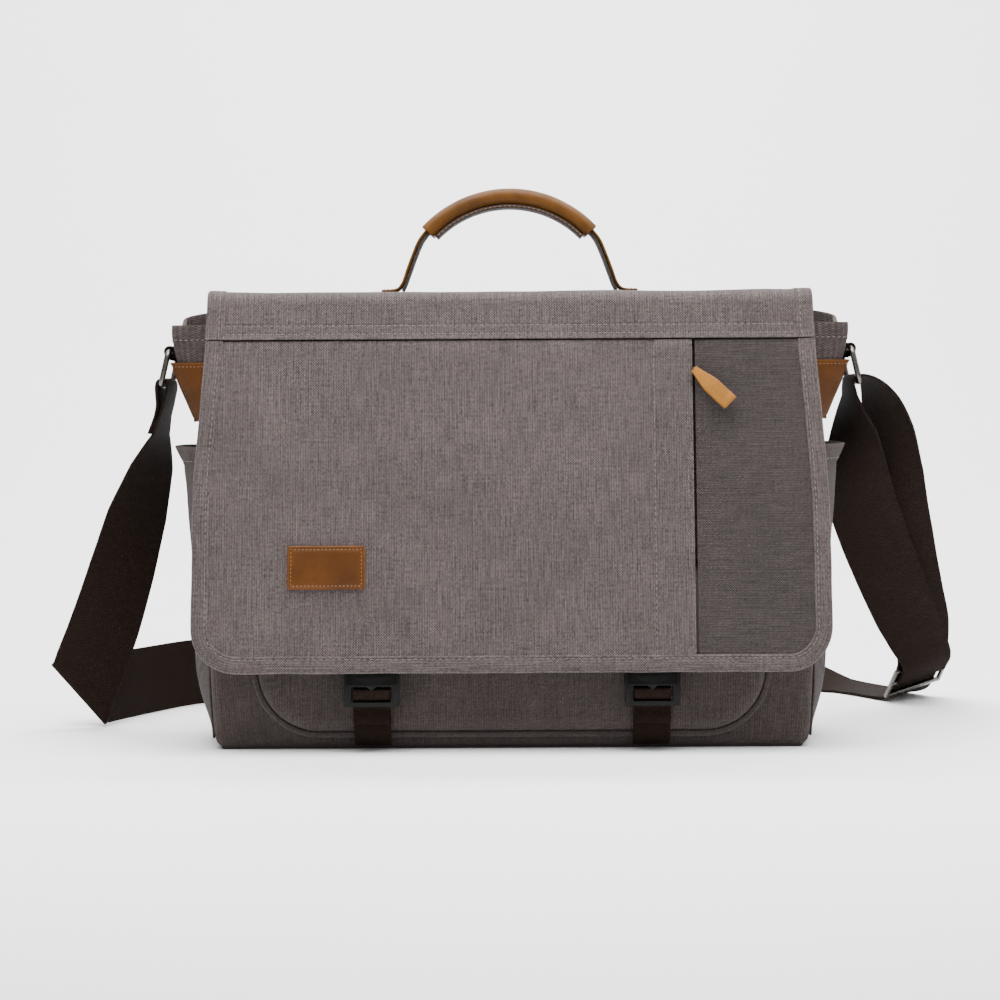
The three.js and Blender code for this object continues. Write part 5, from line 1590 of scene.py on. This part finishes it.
def patch_wear(u, v):
    rim = patch_rim(*patch_flat(u, v))
    return 0.9 * dent(rim, 0.0012) + 0.22 * dent(rim - 0.0035, 0.0012)


patch = cloth("leather_patch_piece", spread(-1, 1, 90), spread(-1, 1, 60), patch_place,
              wear_and_shade=patch_wear)
thicken(patch, 0.0015, rim=0.0002)
hand_over(patch, dark_leather, "dark_leather", "flap", "leather_patch")


def round_a_box(corners, counts):
    """Places along the lines from corner to corner."""
    return [(mix(a[0], b[0], t), mix(a[1], b[1], t))
            for a, b, count in zip(corners, corners[1:], counts) for t in spread(0, 1, count)]


w, h = PATCH_ROW
patch_loop = round_a_box([(w, -h), (w, h), (-w, h), (-w, -h), (w, -h)], (20, 40, 20, 40))
patch_row = [(flap_point(PATCH.x + x, PATCH.z + z, -0.0014), FLAP_OUT) for x, z in patch_loop]
hand_over(sew("patch_stitches", [patch_row], length=0.0018, pitch=0.0026),
          tan_thread, "dark_leather", "flap")

# %% [markdown]
# ## Zip
# Behind the placket runs a zip: two woven tapes whose inner edges carry the teeth. One
# tooth is modelled and copied. The slider is two plates and a web, cut and rounded as
# a casting is, with a thin neck that comes out beside the folded edge to hold the pull.

# %% Zip tapes and teeth
ZIP_X = 0.118
ZIP_FOOT = 0.129
ZIP_LENGTH = 0.14
ZIP_IN = 0.0043
TOOTH_PITCH = 0.002


def on_flap(x, z, inward):
    """Turns parts drawn upright, with Y through them, on to the flap."""
    turn = Matrix((Vector((1, 0, 0)), -FLAP_OUT, FLAP_UP)).transposed().to_4x4()
    return Matrix.Translation(flat_flap_point(x, z, inward)) @ turn


def beside(side, near, far):
    """The lower and higher x of a part that lies from near to far on one side."""
    return sorted((side * near, side * far))


for word, side in SIDES:
    tape = block("zip_tape_" + word, *beside(side, 0.0024, 0.011), -0.0004, 0.0004,
                 0, ZIP_LENGTH)
    tooth = block("tooth", *beside(side, 0.0006, 0.0027), -0.0009, 0.0009, 0.0002, 0.0014)
    soften(tooth, 0.0003, 1)
    shape, faces = take_shape(tooth)
    stagger = TOOTH_PITCH / 2 * (side > 0)
    teeth = piece_of_copies("teeth", [shape + (0, 0, TOOTH_PITCH * n + stagger)
                                      for n in range(int(ZIP_LENGTH / TOOTH_PITCH))], faces)
    select_only(tape)
    teeth.select_set(True)
    bpy.ops.object.join()
    tape.data.transform(on_flap(ZIP_X, ZIP_FOOT, ZIP_IN))
    smooth(tape)
    hand_over(tape, zip_tape, "zip_tape", "flap", "zip_side_" + word)

# %% Slider
SLIDER_Z = 0.256
slider = block("zip_slider_body", -0.0045, 0.0045, -0.0022, -0.0013, -0.005, 0.005)
cut(slider, block("inner", -0.0045, 0.0045, 0.0013, 0.0022, -0.005, 0.005),
    block("web", -0.0002, 0.0002, -0.0018, 0.0018, -0.0025, 0.005),
    block("arm", 0.002, 0.0062, -0.0022, -0.0014, -0.0022, 0.0022),
    block("neck", 0.0056, 0.0066, -0.0061, -0.0014, -0.0022, 0.0022),
    operation="UNION")
soften(slider, 0.0002)
slider.data.transform(on_flap(ZIP_X, SLIDER_Z, ZIP_IN))
hand_over(slider, gunmetal, "dark_metal", "zip_slider", "zip_slider")

# %% [markdown]
# The pull is a strip of light leather folded in two, narrow at the slider and round at
# its folded end. A band along a line that goes down, turns and comes back makes both
# layers, and its width changes on the way.

# %% Leather pull
PULL_AT = flat_flap_point(0.1245, SLIDER_Z, -0.002)
PULL_DOWN = (Vector((1, 0, 0)) - FLAP_UP).normalized()
PULL_ACROSS = (Vector((1, 0, 0)) + FLAP_UP).normalized()
PULL_SECTION = oval(1.0, 0.0013, 20, 0.35)


def pull_point(along, out):
    """The pull stands further off the flap towards its folded end."""
    lift = 0.0045 * (max(along, 0.0) / 0.034) ** 1.6
    return PULL_AT + PULL_DOWN * along + FLAP_OUT * (out + lift)


pull_path = [(a, 0.0007) for a in spread(-0.001, 0.029, 12)]
pull_path += [(0.0305 + 0.0018 * math.sin(t), 0.0021 - 0.0014 * math.cos(t))
              for t in spread(0.3, math.pi - 0.3, 8)]
pull_path += [(a, 0.0021 + 0.0014 * ease(a, 0.004, 0.02)) for a in spread(0.029, -0.001, 12)]
pull_line = stations([pull_point(a, o) for a, o in pull_path], PULL_ACROSS)


def pull_place(k, i):
    centre, across, out = pull_line[i]
    x, y = PULL_SECTION[k % len(PULL_SECTION)]
    width = mix(0.0052, 0.0112, ease(pull_path[i][0], -0.001, 0.016))
    return centre + across * x * width + out * y


pull = cloth("zip_pull_leather", range(len(PULL_SECTION) + 1), range(len(pull_line)),
             pull_place)
seal(pull, 60)
hand_over(pull, pull_leather, "leather", "zip_pull", "zip_pull")

# %% [markdown]
# ## Side-release buckles
# Each buckle is moulded in two halves. The plug half shows below the flap: a plate with
# two slots for the webbing, a recess, two prongs and a guide. The socket half is a
# hollow housing with windows for the prongs. Both begin as cubes, are cut, and get
# the soft edges of a moulding.

# %% Plug halves
BUCKLE_X = 0.094
BUCKLE_Z = 0.033
BUCKLE_IN = 0.0083
BUCKLE_HALF = 0.0185
WEB_HALF = 0.0135
PLUG_THICK = 0.00325


def at_buckle(side):
    return on_flap(side * BUCKLE_X, BUCKLE_Z, BUCKLE_IN)


for word, side in SIDES:
    plug = block("buckle_plug_" + word, -BUCKLE_HALF, BUCKLE_HALF, -PLUG_THICK, PLUG_THICK,
                 0, 0.022)
    for edge in (-1, 1):
        cut(plug, block("prong", *beside(edge, 0.0162, 0.0118), -0.0016, 0.0016, 0.02, 0.0385),
            operation="UNION")
    cut(plug, block("guide", -0.002, 0.002, -0.0016, 0.0016, 0.02, 0.036), operation="UNION")
    cut(plug, block("slot", -WEB_HALF, WEB_HALF, -1, 1, 0.0030, 0.0062),
        block("slot", -WEB_HALF, WEB_HALF, -1, 1, 0.0098, 0.0132),
        block("bed", -WEB_HALF, WEB_HALF, -1, -0.0018, 0.0061, 0.0099),
        block("hollow", -0.0165, 0.0165, -0.01, -0.0021, 0.0148, 0.0235))
    bpy.ops.object.select_all(action="DESELECT")
    bpy.ops.mesh.primitive_cylinder_add(vertices=3, radius=0.011, depth=0.0014)
    arrow = bpy.context.object
    arrow.data.transform(
        Matrix.Translation((0, -0.0022, 0.0165)) @ Matrix.Rotation(math.pi / 2, 4, "X")
        @ Matrix.Rotation(math.pi, 4, "Z") @ Matrix.Diagonal((1.1, 0.55, 1, 1)))
    cut(plug, arrow, operation="UNION")
    soften(plug, 0.00045)
    plug.data.transform(at_buckle(side))
    node = "buckle_male_" + word
    hand_over(plug, buckle_plastic, "buckle_plastic", node, node)

# %% Socket halves
SOCKET_FOOT = 0.0402
SOCKET_HEAD = 0.0732

for word, side in SIDES:
    socket = block("buckle_socket_" + word, -BUCKLE_HALF, BUCKLE_HALF, -0.0043, 0.0043,
                   SOCKET_FOOT, SOCKET_HEAD)
    cut(socket, block("cavity", -0.0168, 0.0168, -0.0026, 0.0026,
                      SOCKET_FOOT - 0.001, SOCKET_FOOT + 0.02),
        block("window", -0.02, 0.02, -0.0016, 0.0016, SOCKET_FOOT + 0.006, SOCKET_FOOT + 0.016),
        block("slot", -WEB_HALF, WEB_HALF, -1, 1, SOCKET_HEAD - 0.0065, SOCKET_HEAD - 0.0025))
    for rise in (0.0025, 0.0045):
        cut(socket, block("rib", -0.013, 0.013, 0.0040, 0.006,
                          SOCKET_FOOT + rise, SOCKET_FOOT + rise + 0.001))
    soften(socket, 0.0006)
    socket.data.transform(at_buckle(side))
    hand_over(socket, buckle_plastic, "buckle_plastic", "flap", "buckle_female_" + word)

# %% [markdown]
# Webbing holds both halves. One length comes out of the base seam, climbs over the
# pocket and goes behind the plug half, where a short loop of it passes through the two
# slots. The other hangs inside the flap and turns through the slot of the socket half.

# %% Buckle webbing
ACROSS = Vector((1, 0, 0))
NARROW = flat_section(0.025, 0.0013)
PLUG_LOOP = [(0.0041, 0.020), (0.0040, 0.0150), (0.0022, 0.0122), (-0.0010, 0.0112),
             (-0.0024, 0.0101), (-0.0026, 0.0080), (-0.0024, 0.0059), (-0.0008, 0.0048),
             (0.0022, 0.0040), (0.0040, 0.0010), (0.0036, -0.0060), (0.0030, -0.0115)]
SOCKET_LOOP = [(-0.0036, 0.0852), (-0.0036, 0.078), (-0.0022, 0.0762), (0.0008, 0.0753),
               (0.0042, 0.0746), (0.0053, 0.0722), (0.0049, 0.0697), (0.0022, 0.0687),
               (-0.0010, 0.0687)]


def laid_band(name, points, section, body, *nodes, across=ACROSS):
    piece = band(name, stations(curve_through(points), across), section)
    hand_over(piece, webbing, "webbing", body, *nodes)


def base_webbing_path(x):
    """From the base seam up over the pocket, and flat behind the plug half."""
    behind = BUCKLE_IN + PLUG_THICK + 0.00105
    low = [Vector((x, front_y(x, 0.004) - 0.0012, 0.0035)),
           Vector((x, front_y(x, 0.006) - 0.0050, 0.0065)),
           Vector((x, pocket_y(x, 0.023) - 0.0018, 0.0145)),
           Vector((x, pocket_y(x, 0.023) - 0.0024, 0.024))]
    return low + [flat_flap_point(x, z, behind) for z in (0.031, 0.042, 0.053)]


for word, side in SIDES:
    place = at_buckle(side)
    laid_band("base_webbing_band_" + word, base_webbing_path(side * BUCKLE_X), NARROW,
              "bag", "base_webbing_" + word)
    laid_band("plug_webbing_" + word, [place @ Vector((0, y, z)) for y, z in PLUG_LOOP],
              flat_section(0.0247, 0.0012), "buckle_male_" + word)
    laid_band("flap_webbing_band_" + word, [place @ Vector((0, y, z)) for y, z in SOCKET_LOOP],
              NARROW, "flap", "flap_webbing_" + word)

# %% [markdown]
# ## Carrying handle
# A leather strap with a canvas lining rises from two sewn feet and runs through an
# arched grip. The leather continues outwards as the foot on each side, while the
# lining stops at the bag. The strap leans with the handle, and its feet stay on the
# flap, so it bends in its lowest centimetre or two.

# %% Handle strap
ARCH = 0.0775
ARCH_CENTRE = Vector((0, 0, 0.3005))
ARCH_END = math.radians(47)
HANDLE_BEND = ("flap_strip", "handle", (0, 0, 0.3135), (0, 0, 0.331))
LEATHER_LEG = [(0.0628, 0.3475), (0.0673, 0.3372), (0.0713, 0.3264), (0.0744, 0.3178),
               (0.0775, 0.3139), (0.0820, 0.3126), (0.0890, 0.3124)]
LINING_LEG = [(0.0604, 0.3469), (0.0650, 0.3364), (0.0690, 0.3256), (0.0723, 0.3168),
              (0.0745, 0.3124)]


def arch_point(angle, radius):
    return ARCH_CENTRE + Vector((radius * math.sin(angle), 0, radius * math.cos(angle)))


def over_arch(leg, radius):
    """Up the left leg, over the arch and down the right leg."""
    over = [arch_point(a, radius) for a in spread(-ARCH_END, ARCH_END, 16)]
    points = [Vector((-x, 0, z)) for x, z in leg[::-1]] + over
    return stations(curve_through(points + [Vector((x, 0, z)) for x, z in leg]), DEPTHWISE)


handle_strap = band("handle_leather_strap", over_arch(LEATHER_LEG, ARCH + 0.0012),
                    oval(0.022, 0.0021, 28, 0.3))
hand_over(handle_strap, leather, "leather", HANDLE_BEND,
          "handle_strap", "handle_foot_left", "handle_foot_right")
handle_lining = band("handle_canvas_lining", over_arch(LINING_LEG, ARCH - 0.0009),
                     oval(0.0216, 0.0017, 28, 0.3))
hand_over(handle_lining, dark_canvas, "canvas", HANDLE_BEND, "handle_lining")

# %% Stitches on the handle's feet
near, far, half = 0.0805, 0.0872, 0.0088
foot_box = round_a_box([(near, -half), (far, -half), (far, half), (near, half), (near, -half)],
                       (8, 8, 8, 8))
foot_rows = [[((side * x, y, 0.3134), (0, 0, 1)) for x, y in foot_box] for word, side in SIDES]
hand_over(sew("handle_foot_stitches", foot_rows, length=0.0018, pitch=0.0027),
          tan_thread, "leather", "flap_strip")

# %% [markdown]
# The grip is a piece of leather rolled round the strap and closed underneath, where its
# two edges show as a paler seam. A rounded section follows the arch, its ends are cut
# square, and a narrow lip runs along the underside.

# %% Grip
LIP_IN = 0.0069
grip_angles = [-ARCH_END - 0.004, -ARCH_END - 0.001]
grip_angles += spread(-ARCH_END + 0.002, ARCH_END - 0.002, 60)
grip_angles += [ARCH_END + 0.001, ARCH_END + 0.004]
grip_section = [(x, y - 0.0006 * dent(y + 0.004, 0.0012))
                for x, y in oval(0.027, 0.0118, 36, 0.72)]


def from_end(i):
    return min(i, len(grip_angles) - 1 - i)


def grip_place(k, i):
    angle = grip_angles[i]
    x, y = grip_section[k % len(grip_section)]
    shrink = (0.86, 0.95, 1.0)[min(from_end(i), 2)]
    size = shrink * (1 + 0.012 * rumple(angle * 6, x * 60, y * 60, 1.0, 1.0, 3))
    return arch_point(angle, ARCH + y * size) + DEPTHWISE * x * size


grip = cloth("handle_grip_leather", range(len(grip_section) + 1), range(len(grip_angles)),
             grip_place, wear_and_shade=lambda k, i: 0.5 * dent(from_end(i), 1.2))
seal(grip, 60)
hand_over(grip, leather, "leather", "handle", "handle_grip")

lip_line = stations([arch_point(a, ARCH - LIP_IN)
                     for a in spread(-ARCH_END + 0.02, ARCH_END - 0.02, 50)], DEPTHWISE)
lip = band("handle_grip_seam", lip_line, oval(0.0225, 0.0032, 24, 0.4))
hand_over(lip, dark_canvas, "canvas", "handle")
lip_rows = [[(arch_point(a, ARCH - LIP_IN) + DEPTHWISE * y, DEPTHWISE * y)
             for a in spread(-ARCH_END + 0.03, ARCH_END - 0.03, 60)]
            for y in (-0.01125, 0.01125)]
hand_over(sew("grip_seam_stitches", lip_rows, length=0.0022, pitch=0.0034),
          tan_thread, "leather", "handle")

# %% [markdown]
# ## Rings, tabs and anchors
# A metal ring hangs at each side from a loop of webbing, whose sewn end is covered by a
# wide leather anchor. The ring is wire bent to a rounded rectangle, so it is a round
# section on a closed line. The anchor is a cloth of leather with a raised, paler rim.

# %% Rings
RING_Z = 0.271
RING_Y = 0.00495
RING_X = 0.2358
RING_CORNERS = ((0.023, -0.005), (-0.023, -0.005), (-0.023, -0.019), (0.023, -0.019))


def ring_path(side):
    """Four round corners in turn, on a plane that leans out at its foot."""
    lean = math.radians(13)
    points = []
    for quarter, (y, z) in enumerate(RING_CORNERS):
        for a in spread(quarter * math.pi / 2, (quarter + 1) * math.pi / 2, 7):
            down = z + 0.005 * math.sin(a)
            points.append(Vector((side * (RING_X - down * math.sin(lean)),
                                  RING_Y + y + 0.005 * math.cos(a),
                                  RING_Z + down * math.cos(lean))))
    return points


for word, side in SIDES:
    wire = band("ring_wire_" + word, stations(ring_path(side), ACROSS, closed=True),
                oval(0.004, 0.004, 16), closed=True)
    hand_over(wire, gunmetal, "dark_metal", "ring_" + word, "ring_" + word)

# %% Ring tabs
TAB_REACH = 0.0031


def tab_path(side):
    """Up the gusset, over the ring's top wire and down again on the outside."""
    def lay(z):
        return side_x(RING_Y, z, side) + 0.0012
    path = [(lay(z), z) for z in spread(0.236, 0.263, 8)]
    path += [(RING_X + TAB_REACH * math.cos(a), RING_Z + TAB_REACH * math.sin(a))
             for a in spread(math.pi, 0, 10)]
    path += [(RING_X + TAB_REACH - 0.0006, RING_Z - 0.0026),
             (RING_X + 0.0003, RING_Z - 0.0048), (lay(0.265) + 0.0021, 0.265)]
    return [Vector((side * x, RING_Y, z)) for x, z in path]


for word, side in SIDES:
    laid_band("ring_tab_loop_" + word, tab_path(side), flat_section(0.048, 0.0015),
              "bag", "ring_tab_" + word, across=DEPTHWISE)

# %% Leather anchors
ANCHOR_TOP = 0.263
ANCHOR_DEEP = 0.041
ANCHOR_ROW = 0.0028


def anchor_half(z):
    share = max((ANCHOR_TOP - z) / ANCHOR_DEEP, 0.0)
    return 0.0455 * (1 - 0.06 * share - 0.4 * share ** 9)


def anchor_rim(u, z):
    return min((1 - abs(u)) * anchor_half(z), ANCHOR_TOP - z, z - ANCHOR_TOP + ANCHOR_DEEP)


def anchor_place(side):
    def place(u, z):
        y = u * side * anchor_half(z)
        rim = anchor_rim(u, z)
        ridge = 0.0004 * dent(rim - 0.0006, 0.0008) - 0.0004 * dent(rim - ANCHOR_ROW, 0.0007)
        return Vector((side * (side_x(y, z, side) + 0.0050 + ridge), y, z))
    return place


for word, side in SIDES:
    lay_anchor = anchor_place(side)
    anchor = cloth("leather_anchor_piece_" + word, spread(-1, 1, 50),
                   spread(ANCHOR_TOP - ANCHOR_DEEP, ANCHOR_TOP, 50), lay_anchor,
                   chart=lambda u, z: (u * 0.03, z),
                   wear_and_shade=lambda u, z: dent(anchor_rim(u, z), 0.0011))
    thicken(anchor, 0.0019, rim=0.0003)
    hand_over(anchor, dark_leather, "dark_leather", "bag", "leather_anchor_" + word)
    top_row = [(lay_anchor(u, ANCHOR_TOP - ANCHOR_ROW), (side, 0, 0))
               for u in spread(-0.9, 0.9, 30)]
    for edge, number in ((-1, 1), (1, 3)):
        rows = [[(lay_anchor(edge * (1 - ANCHOR_ROW / anchor_half(z)), z), (side, 0, 0))
                 for z in spread(ANCHOR_TOP - ANCHOR_ROW, ANCHOR_TOP - 0.034, 24)]]
        rows += [top_row] if edge > 0 else []
        hand_over(sew("anchor_stitches_%s_%d" % (word, number), rows,
                      length=0.002, pitch=0.003), tan_thread, "dark_leather", "bag")

# %% [markdown]
# ## Last measures
# The boxes of the measured model and of the finished bag are both written down.

# %% Write both boxes and finish
with open("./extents.json", "w") as out:
    json.dump({"cad": [list(c) for c in cad_box], "visual": [list(c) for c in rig.bounds()]}, out)
print("finished size:", [[round(c, 3) for c in corner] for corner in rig.bounds()])
